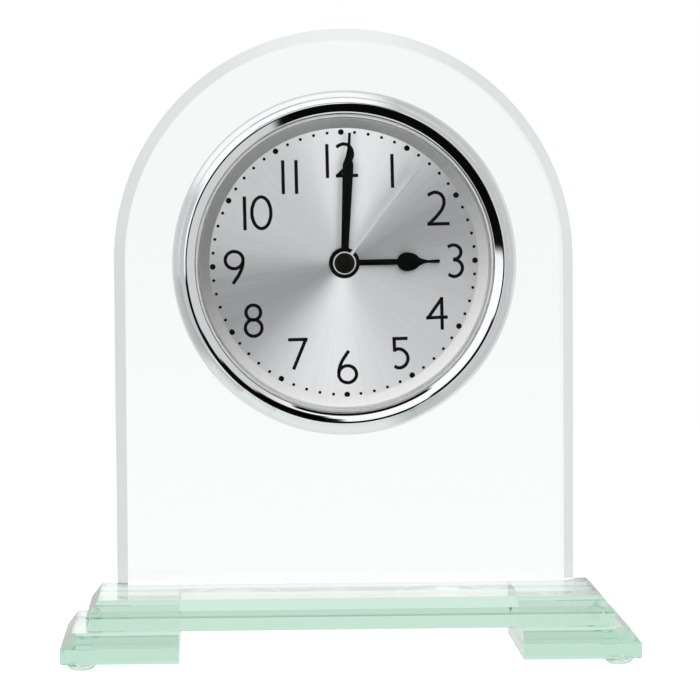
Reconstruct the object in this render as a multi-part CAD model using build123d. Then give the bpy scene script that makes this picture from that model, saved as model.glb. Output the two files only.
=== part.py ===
from build123d import *
import math
import os

# Bevelled glass arch clock with a push-in quartz insert. Millimetres and degrees.
# The clock stands on its bumpers at z = 0; x runs across, y to the back, and the origin is under
# the middle of the base.

# Glass base
FOOT_SPAN = 152.0
FOOT_WIDTH = 31.0
FOOT_DEPTH = 52.0
FOOT_THICKNESS = 8.0
PLINTH_LENGTH = 138.4
PLINTH_DEPTH = 45.0
PLINTH_THICKNESS = 8.0
BEVEL_WIDTH = 3.0
BEVEL_DEPTH = 4.0
ARRIS = 0.4
BUMPER_RADIUS = 4.0
BUMPER_HEIGHT = 2.0
BUMPER_FLAT_RADIUS = 1.8
BUMPER_CROWN = 0.5
BUMPER_INSET = 5.5

# Glass panel
PANEL_WIDTH = 124.0
PANEL_HEIGHT = 150.0
PANEL_THICKNESS = 8.0
PANEL_BACK_INSET = 5.6
INSERT_DROP = 63.0

# Bezel and crystal
BEZEL_RADIUS = 46.3
BEZEL_EDGE = 0.9
BEZEL_HEIGHT = 6.4
BEZEL_BULGE = 0.35
RIDGE_RADIUS = 42.7
RIDGE_ROUND = 0.6
LIP_RADIUS = 39.95
LIP_HEIGHT = 4.6
LIP_BULGE = 0.35
LIP_THICKNESS = 0.5
CRYSTAL_RADIUS = 41.0
CRYSTAL_THICKNESS = 2.0
CRYSTAL_CHAMFER = 0.2
SKIRT_WALL = 1.1
SKIRT_DEPTH = 2.4
HOLE_CLEARANCE = 0.3
SEAT_FIT = 0.1

# Dial and dial ring
DIAL_DEPTH = 3.6
DIAL_RADIUS = 39.3
DIAL_THICKNESS = 0.5
DIAL_HOLE_CLEARANCE = 0.5
RING_FRONT_RADIUS = 40.0
RING_DIAL_RADIUS = 36.6
RING_HOLLOW = 0.5
RING_TOE = 0.1
RING_FLANGE = 2.2

# Case behind the bezel
CASE_FRONT_WALL = 1.4
CASE_SHOULDER = 2.0
CASE_BACK_WALL = 0.8
CASE_WINDOW_LIP = 2.0
CASE_WINDOW_CORNER = 5.0
SLEEVE_GAP = 0.3
SLEEVE_RIBS = 3
SLEEVE_RIB_HEIGHT = 0.3

# Movement shell
PLATE_THICKNESS = 1.2
SHELL_WALL = 1.2
SHELL_CORNER = 8.0
COVER_THICKNESS = 1.0
SHELL_ROOM = 0.6
SCREW_INSET = 4.5
SCREW_RADIUS = 0.9
SCREW_LENGTH = 5.0
SCREW_HEAD_RADIUS = 1.8
SCREW_HEAD_HEIGHT = 1.1
SCREW_SLOT_WIDTH = 0.5
SCREW_SLOT_DEPTH = 0.5
SCREW_POST_RADIUS = 2.2
SCREW_EAR_RADIUS = 3.2

# Going train, wheel by wheel
WHEEL_THICKNESS = 0.6
LEVEL_GAP = 0.4
LEVELS = 6
THIRD_MODULE = 0.36
MOTION_MODULE = 0.375
SECONDS_MODULE = 0.36
ROTOR_MODULE = 0.28
SECONDS_PINION_TEETH = 8
SECONDS_WHEEL_TEETH = 60
THIRD_WHEEL_TEETH = 60
THIRD_PINION_TEETH = 8
CENTRE_WHEEL_TEETH = 64
CANNON_TEETH = 12
MOTION_WHEEL_TEETH = 36
MOTION_PINION_TEETH = 10
HOUR_WHEEL_TEETH = 40
SETTING_TEETH = 12
DRIVE_PINION_TEETH = 12
DRIVE_WHEEL_TEETH = 48
ROTOR_TEETH = 8
PRESSURE_ANGLE = 20.0
TOOTH_SHARE = 0.4
WHEEL_ADDENDUM_SHARE = 0.5
PINION_ADDENDUM_SHARE = 0.9
ROOT_CLEARANCE_SHARE = 0.25
THIRD_ANGLE = 200.0
MOTION_ANGLE = 300.0
DRIVE_ANGLE = 60.0

# Arbors, tubes and their fits
SECONDS_SHAFT_RADIUS = 0.5
MINUTE_TUBE_RADIUS = 1.6
HOUR_TUBE_RADIUS = 2.4
ARBOR_RADIUS = 0.6
PIVOT_RADIUS = 0.35
PIVOT_LENGTH = 0.7
POST_RADIUS = 0.8
SETTING_SHAFT_RADIUS = 1.2
RUN_FIT = 0.06
PRESS_FIT = 0.02
END_SHAKE = 0.1

# Hands, drawn at twelve and turned clockwise to the photographed time
HAND_THICKNESS = 0.3
HOUR_HAND_RISE = 1.6
MINUTE_HAND_RISE = 3.0
SECOND_HAND_RISE = 4.3
HOUR_HAND_ANGLE = 89.4
MINUTE_HAND_ANGLE = 1.9
SECOND_HAND_ANGLE = 37.6
HOUR_BOSS_RADIUS = 3.4
HOUR_LENGTH = 25.5
HOUR_STEM_WIDTH = 1.6
HOUR_BULB_PLACE = 16.8
HOUR_BULB_RADIUS = 2.55
HOUR_NECK_PLACE = 21.3
MINUTE_BOSS_RADIUS = 4.15
MINUTE_LENGTH = 35.6
MINUTE_STEM_WIDTH = 1.95
MINUTE_BLADE_WIDTH = 2.55
MINUTE_BLADE_PLACE = 25.6
MINUTE_NECK_PLACE = 32.4
NEEDLE_WIDTH = 0.66
BULB_FLARE = 0.45
BULB_FLARE_ANGLE = 40.0
BLADE_FLARE = 0.25
SECOND_LENGTH = 31.8
SECOND_WIDTH = 0.5
SECOND_ROOT_WIDTH = 0.9
SECOND_RING_RADIUS = 3.1
SECOND_CAP_RADIUS = 2.75
SECOND_CAP_RISE = 0.35
SECOND_CAP_EDGE = 0.1
BOSS_DEPTH = 0.5
BOSS_WALL = 0.6

# Setting knob
KNOB_RADIUS = 4.6
KNOB_THICKNESS = 2.2
KNOB_GAP = 0.4
KNOB_FLUTES = 20
KNOB_FLUTE_RADIUS = 0.45
KNOB_CAP = 0.7

# Button cell, its contacts and its hatch
CELL_RADIUS = 5.8
CELL_THICKNESS = 5.4
CELL_CAP_RADIUS = 4.4
CELL_CAP_HEIGHT = 0.5
CELL_EDGE = 0.4
CELL_ANGLE = 130.0
CELL_CLEARANCE = 0.2
WELL_WALL = 0.8
WELL_SLOT = 6.0
WELL_ROOM = 0.3
CONTACT_THICKNESS = 0.3
CONTACT_WIDTH = 1.2
CONTACT_LEAF_WIDTH = 3.0
CONTACT_PITCH = 2.5
CONTACT_LANE_ROOM = 0.6
PLUS_TAB_PLACE = 1.9
PLUS_KNEE_RISE = 1.9
MINUS_TAB_PLACE = 5.3
MINUS_KNEE_RISE = 2.8
HATCH_LENGTH = 13.0
HATCH_TRAVEL = 13.0
HATCH_THICKNESS = 0.9
HATCH_PLAY = 0.1
HATCH_GRIPS = 4
HATCH_GRIP_WIDTH = 0.6
HATCH_GRIP_HEIGHT = 0.4
HATCH_GRIP_LENGTH = 7.0
HATCH_GRIP_PITCH = 1.6
RAIL_WIDTH = 0.8
RAIL_LIP = 0.6
RAIL_ROOF = 0.5

# Stepping motor and circuit
MAGNET_RADIUS = 2.2
MAGNET_LENGTH = 2.6
MAGNET_AIR_GAP = 0.4
STATOR_THICKNESS = 0.8
STATOR_WIDTH = 2.4
STATOR_EYE_WALL = 1.4
STATOR_ARM_GAP = 3.2
STATOR_POST_RADIUS = 1.2
CORE_WIDTH = 1.6
CORE_THICKNESS = 0.8
COIL_LENGTH = 16.0
COIL_RADIUS = 2.2
COIL_FLANGE_RADIUS = 2.5
COIL_FLANGE = 0.7
COIL_TUBE_WALL = 0.4
COIL_CLEARANCE = 0.1
COIL_END_ROOM = 3.0
BOARD_LENGTH = 19.0
BOARD_HEIGHT = 6.6
BOARD_THICKNESS = 0.8
BOARD_RISE = 1.5
BOARD_POST_RADIUS = 1.0
BOARD_ROOM = 0.4
BOARD_ITEM_SHARE = 0.25
CAN_RADIUS = 1.0
CAN_LENGTH = 6.0
CHIP_RADIUS = 2.2
CHIP_HEIGHT = 0.8
CUT_OVERRUN = 1.0


LOW = (Align.CENTER, Align.CENTER, Align.MIN)
CENTRE = Vector(0, 0)


# Places worked out from the driving dimensions

foot_base = BUMPER_HEIGHT
plinth_base = foot_base + FOOT_THICKNESS
panel_base = plinth_base + PLINTH_THICKNESS
panel_front = PLINTH_DEPTH / 2 - PANEL_BACK_INSET - PANEL_THICKNESS
panel_bottom = INSERT_DROP - PANEL_HEIGHT
arch_radius = PANEL_WIDTH / 2
arch_centre = INSERT_DROP - arch_radius

# The insert and the panel are drawn face on: x across, y up, z to the viewer, with zero at the
# middle of the insert on the front face of the panel.
FACE_FRAME = Pos(0, panel_front, panel_base - panel_bottom) * Rot(90, 0, 0)

crystal_front = LIP_HEIGHT - LIP_THICKNESS
crystal_back = crystal_front - CRYSTAL_THICKNESS
seat_radius = CRYSTAL_RADIUS + SEAT_FIT
skirt_radius = seat_radius + SKIRT_WALL
hole_radius = skirt_radius + HOLE_CLEARANCE

dial_front = -DIAL_DEPTH
dial_back = dial_front - DIAL_THICKNESS
train_front = dial_back - PLATE_THICKNESS
level_pitch = WHEEL_THICKNESS + LEVEL_GAP
train_back = train_front - LEVELS * level_pitch - LEVEL_GAP
cover_back = train_back - COVER_THICKNESS
case_back = cover_back - CASE_BACK_WALL

case_bore = DIAL_RADIUS + SEAT_FIT
case_radius = case_bore + CASE_FRONT_WALL
case_rear_bore = case_bore - CASE_SHOULDER


def level(number):
    """Front of a wheel on one level of the train, counted from the dial."""
    return train_front - LEVEL_GAP - number * level_pitch


def polar(distance, angle):
    """Point at a distance and an angle from the middle of the movement."""
    turn = math.radians(angle)
    return Vector(distance * math.cos(turn), distance * math.sin(turn))


def distance_of(module, first, second):
    """Centre distance of two meshing wheels."""
    return module * (first + second) / 2


third_distance = distance_of(THIRD_MODULE, SECONDS_PINION_TEETH, THIRD_WHEEL_TEETH)
centre_module = 2 * third_distance / (THIRD_PINION_TEETH + CENTRE_WHEEL_TEETH)
motion_distance = distance_of(MOTION_MODULE, CANNON_TEETH, MOTION_WHEEL_TEETH)
hour_module = 2 * motion_distance / (MOTION_PINION_TEETH + HOUR_WHEEL_TEETH)
setting_distance = distance_of(MOTION_MODULE, SETTING_TEETH, MOTION_WHEEL_TEETH)
drive_distance = distance_of(SECONDS_MODULE, DRIVE_PINION_TEETH, SECONDS_WHEEL_TEETH)
rotor_distance = distance_of(ROTOR_MODULE, ROTOR_TEETH, DRIVE_WHEEL_TEETH)

third_place = polar(third_distance, THIRD_ANGLE)
motion_place = polar(motion_distance, MOTION_ANGLE)
setting_place = polar(motion_distance + setting_distance, MOTION_ANGLE)
drive_place = polar(drive_distance, DRIVE_ANGLE)
rotor_place = polar(drive_distance + rotor_distance, DRIVE_ANGLE)


def wheel_reach(module, teeth):
    """Radius over the teeth of a wheel."""
    return module * (teeth / 2 + WHEEL_ADDENDUM_SHARE)


third_reach = wheel_reach(THIRD_MODULE, THIRD_WHEEL_TEETH)
centre_reach = wheel_reach(centre_module, CENTRE_WHEEL_TEETH)
well_radius = CELL_RADIUS + CELL_CLEARANCE
cell_place = polar(centre_reach + WELL_ROOM + WELL_WALL + well_radius, CELL_ANGLE)
shell_inside = third_distance + third_reach + SHELL_ROOM
shell_half = shell_inside + SHELL_WALL
screw_place = shell_half - SCREW_INSET
screw_places = [
    Vector(screw_place, screw_place),
    Vector(-screw_place, -screw_place),
    Vector(screw_place, -screw_place),
]

hour_front = dial_front + HOUR_HAND_RISE + HAND_THICKNESS
minute_front = dial_front + MINUTE_HAND_RISE + HAND_THICKNESS
second_front = dial_front + SECOND_HAND_RISE + HAND_THICKNESS
motion_end = level(1) - WHEEL_THICKNESS - LEVEL_GAP / 2

coil_tube = math.hypot(CORE_WIDTH / 2, CORE_THICKNESS / 2) + COIL_CLEARANCE + COIL_TUBE_WALL
coil_x = shell_inside - COIL_FLANGE_RADIUS - COIL_CLEARANCE
core_half = COIL_LENGTH / 2 + COIL_END_ROOM
stator_front = level(2)
stator_back = stator_front - STATOR_THICKNESS
core_back = stator_back - CORE_THICKNESS
core_middle = (stator_back + core_back) / 2
arm_x = coil_x - COIL_FLANGE_RADIUS - STATOR_ARM_GAP

board_front = train_front - BOARD_RISE
board_back = board_front - BOARD_THICKNESS
board_x = BOARD_LENGTH / 2 - screw_place + SCREW_POST_RADIUS + BOARD_ROOM
board_y = BOARD_HEIGHT / 2 + BOARD_ROOM - shell_inside
board_left = board_x - BOARD_LENGTH / 2
tab_y = board_y + BOARD_ITEM_SHARE * BOARD_HEIGHT

cell_front = train_front - CONTACT_THICKNESS
cell_back = cell_front - CELL_THICKNESS
plus_lane = CONTACT_LANE_ROOM + CONTACT_WIDTH / 2 - shell_inside
minus_lane = plus_lane + CONTACT_PITCH
hatch_half = HATCH_LENGTH / 2
hatch_front = cover_back - HATCH_PLAY
hatch_back = hatch_front - HATCH_THICKNESS
knob_front = cover_back - KNOB_GAP
knob_back = knob_front - KNOB_THICKNESS


# Shared shapes

def turned(*points):
    """Solid of revolution about z from (radius, z) points."""
    return revolve(Plane.XZ * make_face(Polyline(*points, close=True)), Axis.Z)


def rod(radius, front, back, place=CENTRE):
    """Round bar from front to back, square to the face."""
    return Pos(place.X, place.Y, back) * Cylinder(radius, front - back, align=LOW)


def plate(sketch, front, back):
    """Flat piece of a sketched outline, from front to back."""
    return extrude(Pos(0, 0, back) * sketch, front - back)


def at(place, sketch):
    """Sketch moved to a place on the face."""
    return Pos(place.X, place.Y) * sketch


def bowed(start, end, bow):
    """Arc that stands off by the bow to the left of its chord."""
    run = Vector(end) - Vector(start)
    middle = (Vector(start) + Vector(end)) / 2
    return ThreePointArc(start, middle + Vector(-run.Y, run.X).normalized() * bow, end)


def strip(points, width):
    """Flat strip with round ends along straight runs."""
    outline = Sketch()
    for start, end in zip(points, points[1:]):
        run = end - start
        turn = math.degrees(math.atan2(run.Y, run.X))
        outline += at((start + end) / 2, Rot(0, 0, turn) * SlotCenterToCenter(run.length, width))
    return outline


# Toothed wheels

def involute(angle):
    """Involute function of a pressure angle in radians."""
    return math.tan(angle) - angle


def half_tooth(radius, base, pitch, thickness):
    """Half the angle that a tooth takes up at a radius."""
    at_pitch = thickness / (2 * pitch) + involute(math.radians(PRESSURE_ANGLE))
    return at_pitch - involute(math.acos(min(1.0, base / radius)))


def toothed(teeth, module, is_pinion, phase):
    """Outline of a wheel or pinion whose first tooth stands at the phase, in radians."""
    own, other = WHEEL_ADDENDUM_SHARE, PINION_ADDENDUM_SHARE
    if is_pinion:
        own, other = other, own
    pitch = teeth * module / 2
    base = pitch * math.cos(math.radians(PRESSURE_ANGLE))
    root = pitch - module * (other + ROOT_CLEARANCE_SHARE)
    tip = pitch + module * own
    radii = (root, max(base, (root + tip) / 2), tip)
    halves = [half_tooth(r, base, pitch, TOOTH_SHARE * math.pi * module) for r in radii]
    rising = [(r, -half) for r, half in zip(radii, halves)]
    falling = [(r, half) for r, half in reversed(list(zip(radii, halves)))]
    points = []
    for tooth in range(teeth):
        middle = phase + tooth * math.tau / teeth
        for radius, turn in rising + falling:
            points.append((radius * math.cos(middle + turn), radius * math.sin(middle + turn)))
    return make_face(Polyline(*points, close=True))


def wheel(teeth, module, phase, front, place=CENTRE):
    """Toothed disc of a wheel."""
    return plate(at(place, toothed(teeth, module, False, phase)), front, front - WHEEL_THICKNESS)


def pinion(teeth, module, phase, front, place=CENTRE):
    """Toothed disc of a pinion."""
    return plate(at(place, toothed(teeth, module, True, phase)), front, front - WHEEL_THICKNESS)


def meshing(phase, teeth, other_teeth, angle):
    """Phase of a wheel that meshes with one of the given phase and stands at an angle from it."""
    towards = math.radians(angle)
    return towards + math.pi - ((phase - towards) * teeth + math.pi) / other_teeth


def arbor(place):
    """Arbor between the plates, with a pivot at each end."""
    front = train_front - END_SHAKE
    back = train_back + END_SHAKE
    pivots = rod(PIVOT_RADIUS, front + PIVOT_LENGTH, back - PIVOT_LENGTH, place)
    return rod(ARBOR_RADIUS, front, back, place) + pivots


# Glass stand

def bevelled(slab, edges):
    """Slab with the ground bevel along the chosen edges of its top face."""
    top = slab.faces().sort_by(Axis.Z)[-1]
    return chamfer(edges, BEVEL_WIDTH, BEVEL_DEPTH, reference=top)


def seamed(slab):
    """Slab with its bottom edges seamed."""
    return chamfer(slab.faces().sort_by(Axis.Z)[0].edges(), ARRIS)


def make_plinth():
    slab = Box(PLINTH_LENGTH, PLINTH_DEPTH, PLINTH_THICKNESS, align=LOW)
    slab = bevelled(slab, slab.faces().sort_by(Axis.Z)[-1].edges())
    return Pos(0, 0, plinth_base) * seamed(slab)


def make_right_foot():
    """Foot slab, bevelled in front, behind and at its outer end."""
    slab = Box(FOOT_WIDTH, FOOT_DEPTH, FOOT_THICKNESS, align=LOW)
    edges = slab.faces().sort_by(Axis.Z)[-1].edges().sort_by(Axis.X)[1:]
    return Pos((FOOT_SPAN - FOOT_WIDTH) / 2, 0, foot_base) * seamed(bevelled(slab, edges))


def make_left_foot():
    return mirror(make_right_foot(), about=Plane.YZ)


def make_bumpers():
    """Four domes with a flattened bottom, one near each outer corner of the feet."""
    rim = (BUMPER_RADIUS, BUMPER_HEIGHT)
    flat = (BUMPER_FLAT_RADIUS, 0)
    sides = Polyline(flat, (0, 0), (0, BUMPER_HEIGHT), rim)
    dome = revolve(Plane.XZ * make_face([bowed(rim, flat, BUMPER_CROWN), sides]), Axis.Z)
    across = FOOT_SPAN - 2 * BUMPER_INSET
    along = FOOT_DEPTH - 2 * BUMPER_INSET
    return Compound(children=[place * dome for place in GridLocations(across, along, 2, 2)])


def make_arch_panel():
    """Glass arch, bevelled round its front, with the hole for the insert."""
    left, right = (-arch_radius, arch_centre), (arch_radius, arch_centre)
    legs = Polyline(left, (-arch_radius, panel_bottom), (arch_radius, panel_bottom), right)
    outline = make_face([legs, CenterArc((0, arch_centre), arch_radius, 0, 180)])
    slab = plate(outline, 0, -PANEL_THICKNESS)
    slab = bevelled(slab, slab.faces().sort_by(Axis.Z)[-1].edges().sort_by(Axis.Y)[1:])
    slab = chamfer(slab.faces().sort_by(Axis.Z)[0].edges().sort_by(Axis.Y)[1:], ARRIS)
    return slab - turned(
        (0, 0),
        (hole_radius + ARRIS, 0),
        (hole_radius, -ARRIS),
        (hole_radius, ARRIS - PANEL_THICKNESS),
        (hole_radius + ARRIS, -PANEL_THICKNESS),
        (0, -PANEL_THICKNESS),
    )


# Insert: bezel, crystal, dial and case

def make_bezel():
    """Chrome ring: outer slope, ridge, inner slope, a seat for the crystal and a skirt."""
    ridge = (RIDGE_RADIUS, BEZEL_HEIGHT)
    outer = (BEZEL_RADIUS, BEZEL_EDGE)
    lip = (LIP_RADIUS, LIP_HEIGHT)
    back = Polyline(
        outer,
        (BEZEL_RADIUS, 0),
        (skirt_radius, 0),
        (skirt_radius, -SKIRT_DEPTH),
        (seat_radius, -SKIRT_DEPTH),
        (seat_radius, crystal_front),
        (LIP_RADIUS, crystal_front),
        lip,
    )
    slopes = [bowed(lip, ridge, LIP_BULGE), bowed(ridge, outer, BEZEL_BULGE)]
    profile = make_face([back] + slopes)
    crest = profile.vertices().sort_by(Axis.Y)[-1]
    return revolve(Plane.XZ * fillet(crest, RIDGE_ROUND), Axis.Z)


def make_crystal():
    disc = rod(CRYSTAL_RADIUS, crystal_front, crystal_back)
    return chamfer(disc.edges().filter_by(GeomType.CIRCLE), CRYSTAL_CHAMFER)


def make_dial_ring():
    """Hollowed ring from the crystal down to the dial, with a flange that holds the crystal."""
    step = crystal_back - RING_FLANGE
    top = (RING_FRONT_RADIUS, crystal_back)
    toe = (RING_DIAL_RADIUS, dial_front + RING_TOE)
    back = Polyline(
        toe,
        (RING_DIAL_RADIUS, dial_front),
        (DIAL_RADIUS, dial_front),
        (DIAL_RADIUS, step),
        (CRYSTAL_RADIUS, step),
        (CRYSTAL_RADIUS, crystal_back),
        top,
    )
    profile = make_face([back, bowed(top, toe, RING_HOLLOW)])
    return revolve(Plane.XZ * profile, Axis.Z)


def make_dial():
    outline = Circle(DIAL_RADIUS) - Circle(HOUR_TUBE_RADIUS + DIAL_HOLE_CLEARANCE)
    return plate(outline, dial_front, dial_back)


def make_insert_case():
    """Cup that closes on the bezel, carries the dial on a shoulder and holds the movement."""
    rim = crystal_back - RING_FLANGE - SEAT_FIT
    cup = turned(
        (case_bore, rim),
        (case_radius, rim),
        (case_radius, case_back),
        (0, case_back),
        (0, cover_back),
        (case_rear_bore, cover_back),
        (case_rear_bore, dial_back),
        (case_bore, dial_back),
    )
    half = shell_half - CASE_WINDOW_LIP
    window = RectangleRounded(2 * half, 2 * half, CASE_WINDOW_CORNER)
    for place in screw_places:
        window -= at(place, Circle(SCREW_EAR_RADIUS))
        window += at(place, Circle(SCREW_RADIUS + SEAT_FIT))
    return cup - plate(window, cover_back + CUT_OVERRUN, case_back - CUT_OVERRUN)


def make_grip_sleeve():
    """Ribbed rubber band round the case, inside the hole in the glass."""
    front = -SKIRT_DEPTH - SLEEVE_GAP
    back = -PANEL_THICKNESS
    inner = case_radius + SEAT_FIT
    outer = hole_radius - SEAT_FIT
    valley = outer - SLEEVE_RIB_HEIGHT
    pitch = (front - back) / SLEEVE_RIBS
    points = [(inner, back), (inner, front)]
    for rib in range(SLEEVE_RIBS):
        start = front - rib * pitch
        points += [(valley, start), (outer, start - pitch / 2)]
    return turned(*points, (valley, back))


# Movement shell

def shell_outline(half, corner):
    return RectangleRounded(2 * half, 2 * half, corner)


def bearing(place, plate_face, away):
    """Blind pivot hole in a plate, from its face and away from the train."""
    deepest = plate_face + away * (PIVOT_LENGTH + END_SHAKE)
    return rod(PIVOT_RADIUS + RUN_FIT, max(plate_face, deepest), min(plate_face, deepest), place)


def cell_well():
    """Round wall that holds the cell, open at the side where the contacts come in."""
    ring = Circle(well_radius + WELL_WALL) - Circle(well_radius)
    reach = well_radius + WELL_WALL + CUT_OVERRUN
    ring -= Pos(-reach / 2, 0) * Rectangle(reach, WELL_SLOT)
    return plate(at(cell_place, ring), train_front, cell_back)


def make_movement_case():
    """Front plate with the side walls, the posts and the front bearings of the train."""
    outside = shell_outline(shell_half, SHELL_CORNER)
    walls = outside - shell_outline(shell_inside, SHELL_CORNER - SHELL_WALL)
    shell = plate(outside, dial_back, train_front) + plate(walls, train_front, train_back)
    shell += rod(POST_RADIUS, train_front, motion_end, motion_place)
    for place in screw_places:
        shell += rod(SCREW_POST_RADIUS, train_front, train_back, place)
        shell -= rod(SCREW_RADIUS + PRESS_FIT, train_front, train_back, place)
    for y in (core_half, -core_half):
        shell += rod(STATOR_POST_RADIUS, train_front, stator_front, Vector(coil_x, y))
    for side in (-1, 1):
        x = board_x + side * (BOARD_LENGTH / 2 - BOARD_POST_RADIUS)
        shell += rod(BOARD_POST_RADIUS, train_front, board_front, Vector(x, board_y))
    shell += cell_well()
    for place in (third_place, drive_place, rotor_place, setting_place):
        shell -= bearing(place, train_front, 1)
    return shell - rod(HOUR_TUBE_RADIUS + RUN_FIT, dial_back, train_front)


def hatch_rail(side):
    """Hooked rail that one edge of the hatch slides in."""
    length = HATCH_LENGTH + HATCH_TRAVEL
    near = hatch_half + HATCH_PLAY
    roof = hatch_back - HATCH_PLAY
    middle = cell_place + Vector(HATCH_TRAVEL / 2, side * (near + RAIL_WIDTH / 2))
    wall = at(middle, Rectangle(length, RAIL_WIDTH))
    hook = at(middle - Vector(0, side * RAIL_LIP / 2), Rectangle(length, RAIL_WIDTH + RAIL_LIP))
    return plate(wall, cover_back, roof) + plate(hook, roof, roof - RAIL_ROOF)


def make_movement_cover():
    """Back plate with bearings, the way to the cell, the setting hole and the hatch rails."""
    outline = shell_outline(shell_half, SHELL_CORNER)
    outline -= at(cell_place, Circle(well_radius))
    outline -= at(setting_place, Circle(SETTING_SHAFT_RADIUS + RUN_FIT))
    for place in screw_places:
        outline -= at(place, Circle(SCREW_RADIUS + SEAT_FIT))
    cover = plate(outline, train_back, cover_back)
    for place in (CENTRE, third_place, drive_place, rotor_place):
        cover -= bearing(place, train_back, -1)
    return cover + hatch_rail(1) + hatch_rail(-1)


def make_battery_hatch():
    """Sliding lid with finger grips."""
    hatch = plate(at(cell_place, Rectangle(HATCH_LENGTH, HATCH_LENGTH)), hatch_front, hatch_back)
    for step in range(HATCH_GRIPS):
        offset = (step - (HATCH_GRIPS - 1) / 2) * HATCH_GRIP_PITCH
        grip = at(cell_place + Vector(offset, 0), Rectangle(HATCH_GRIP_WIDTH, HATCH_GRIP_LENGTH))
        hatch += plate(grip, hatch_back, hatch_back - HATCH_GRIP_HEIGHT)
    return hatch


def make_case_screws():
    """Slotted screws that hold the case and the cover to the movement."""
    screw = rod(SCREW_RADIUS, case_back + SCREW_LENGTH, case_back)
    screw += rod(SCREW_HEAD_RADIUS, case_back, case_back - SCREW_HEAD_HEIGHT)
    slot = Rectangle(2 * SCREW_HEAD_RADIUS + CUT_OVERRUN, SCREW_SLOT_WIDTH)
    head_back = case_back - SCREW_HEAD_HEIGHT
    screw -= plate(slot, head_back + SCREW_SLOT_DEPTH, head_back)
    return Compound(children=[Pos(place.X, place.Y) * screw for place in screw_places])


# Train, from the motor to the hands

def make_rotor():
    """Round magnet on an arbor with the first pinion."""
    phase = meshing(0, DRIVE_WHEEL_TEETH, ROTOR_TEETH, DRIVE_ANGLE)
    rotor = arbor(rotor_place) + pinion(ROTOR_TEETH, ROTOR_MODULE, phase, level(5), rotor_place)
    return rotor + rod(MAGNET_RADIUS, level(1), level(1) - MAGNET_LENGTH, rotor_place)


def make_drive_wheel():
    """Wheel on the rotor pinion, and the pinion that turns the seconds wheel."""
    phase = meshing(0, SECONDS_WHEEL_TEETH, DRIVE_PINION_TEETH, DRIVE_ANGLE)
    drive = arbor(drive_place)
    drive += wheel(DRIVE_WHEEL_TEETH, ROTOR_MODULE, 0, level(5), drive_place)
    return drive + pinion(DRIVE_PINION_TEETH, SECONDS_MODULE, phase, level(4), drive_place)


def make_seconds_wheel():
    """Seconds wheel and pinion on the long shaft that carries the second hand."""
    back = train_back + END_SHAKE
    shaft = rod(SECONDS_SHAFT_RADIUS, second_front, back)
    shaft += rod(PIVOT_RADIUS, back, back - PIVOT_LENGTH)
    shaft += wheel(SECONDS_WHEEL_TEETH, SECONDS_MODULE, 0, level(4))
    return shaft + pinion(SECONDS_PINION_TEETH, THIRD_MODULE, 0, level(3))


def make_third_wheel():
    """Wheel on the seconds pinion, and the pinion that turns the centre wheel."""
    wheel_phase = meshing(0, SECONDS_PINION_TEETH, THIRD_WHEEL_TEETH, THIRD_ANGLE)
    pinion_phase = meshing(0, CENTRE_WHEEL_TEETH, THIRD_PINION_TEETH, THIRD_ANGLE)
    third = arbor(third_place)
    third += wheel(THIRD_WHEEL_TEETH, THIRD_MODULE, wheel_phase, level(3), third_place)
    return third + pinion(THIRD_PINION_TEETH, centre_module, pinion_phase, level(2), third_place)


def make_centre_wheel():
    """Centre wheel with the cannon pinion on the tube of the minute hand."""
    tube = rod(MINUTE_TUBE_RADIUS, minute_front, level(2) - WHEEL_THICKNESS)
    tube += wheel(CENTRE_WHEEL_TEETH, centre_module, 0, level(2))
    tube += pinion(CANNON_TEETH, MOTION_MODULE, 0, level(1))
    return tube - rod(SECONDS_SHAFT_RADIUS + RUN_FIT, minute_front, level(2) - WHEEL_THICKNESS)


def make_motion_wheel():
    """Motion wheel and pinion, turning on a post of the front plate."""
    wheel_phase = meshing(0, CANNON_TEETH, MOTION_WHEEL_TEETH, MOTION_ANGLE)
    front, back = level(0), level(1) - WHEEL_THICKNESS
    motion = wheel(MOTION_WHEEL_TEETH, MOTION_MODULE, wheel_phase, level(1), motion_place)
    motion += pinion(MOTION_PINION_TEETH, hour_module, 0, level(0), motion_place)
    motion += rod(ARBOR_RADIUS + POST_RADIUS, front, back, motion_place)
    return motion - rod(POST_RADIUS + RUN_FIT, front, back, motion_place)


def make_hour_wheel():
    """Hour wheel on the outer tube."""
    phase = meshing(0, MOTION_PINION_TEETH, HOUR_WHEEL_TEETH, MOTION_ANGLE + 180)
    back = level(0) - WHEEL_THICKNESS
    tube = rod(HOUR_TUBE_RADIUS, hour_front, back)
    tube += wheel(HOUR_WHEEL_TEETH, hour_module, phase, level(0))
    return tube - rod(MINUTE_TUBE_RADIUS + RUN_FIT, hour_front, back)


def make_setting_pinion():
    """Pinion and shaft that the setting knob turns."""
    motion_phase = meshing(0, CANNON_TEETH, MOTION_WHEEL_TEETH, MOTION_ANGLE)
    phase = meshing(motion_phase, MOTION_WHEEL_TEETH, SETTING_TEETH, MOTION_ANGLE)
    front = train_front - END_SHAKE
    shaft = rod(PIVOT_RADIUS, front + PIVOT_LENGTH, front, setting_place)
    shaft += rod(ARBOR_RADIUS, front, level(1), setting_place)
    shaft += pinion(SETTING_TEETH, MOTION_MODULE, phase, level(1), setting_place)
    return shaft + rod(SETTING_SHAFT_RADIUS, level(1), knob_back + KNOB_CAP, setting_place)


def make_setting_knob():
    """Fluted knob pressed on the setting shaft."""
    outline = Circle(KNOB_RADIUS)
    for place in PolarLocations(KNOB_RADIUS, KNOB_FLUTES):
        outline -= place * Circle(KNOB_FLUTE_RADIUS)
    knob = plate(at(setting_place, outline), knob_front, knob_back)
    socket = SETTING_SHAFT_RADIUS + PRESS_FIT
    return knob - rod(socket, knob_front, knob_back + KNOB_CAP, setting_place)


# Motor, circuit and cell

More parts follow.
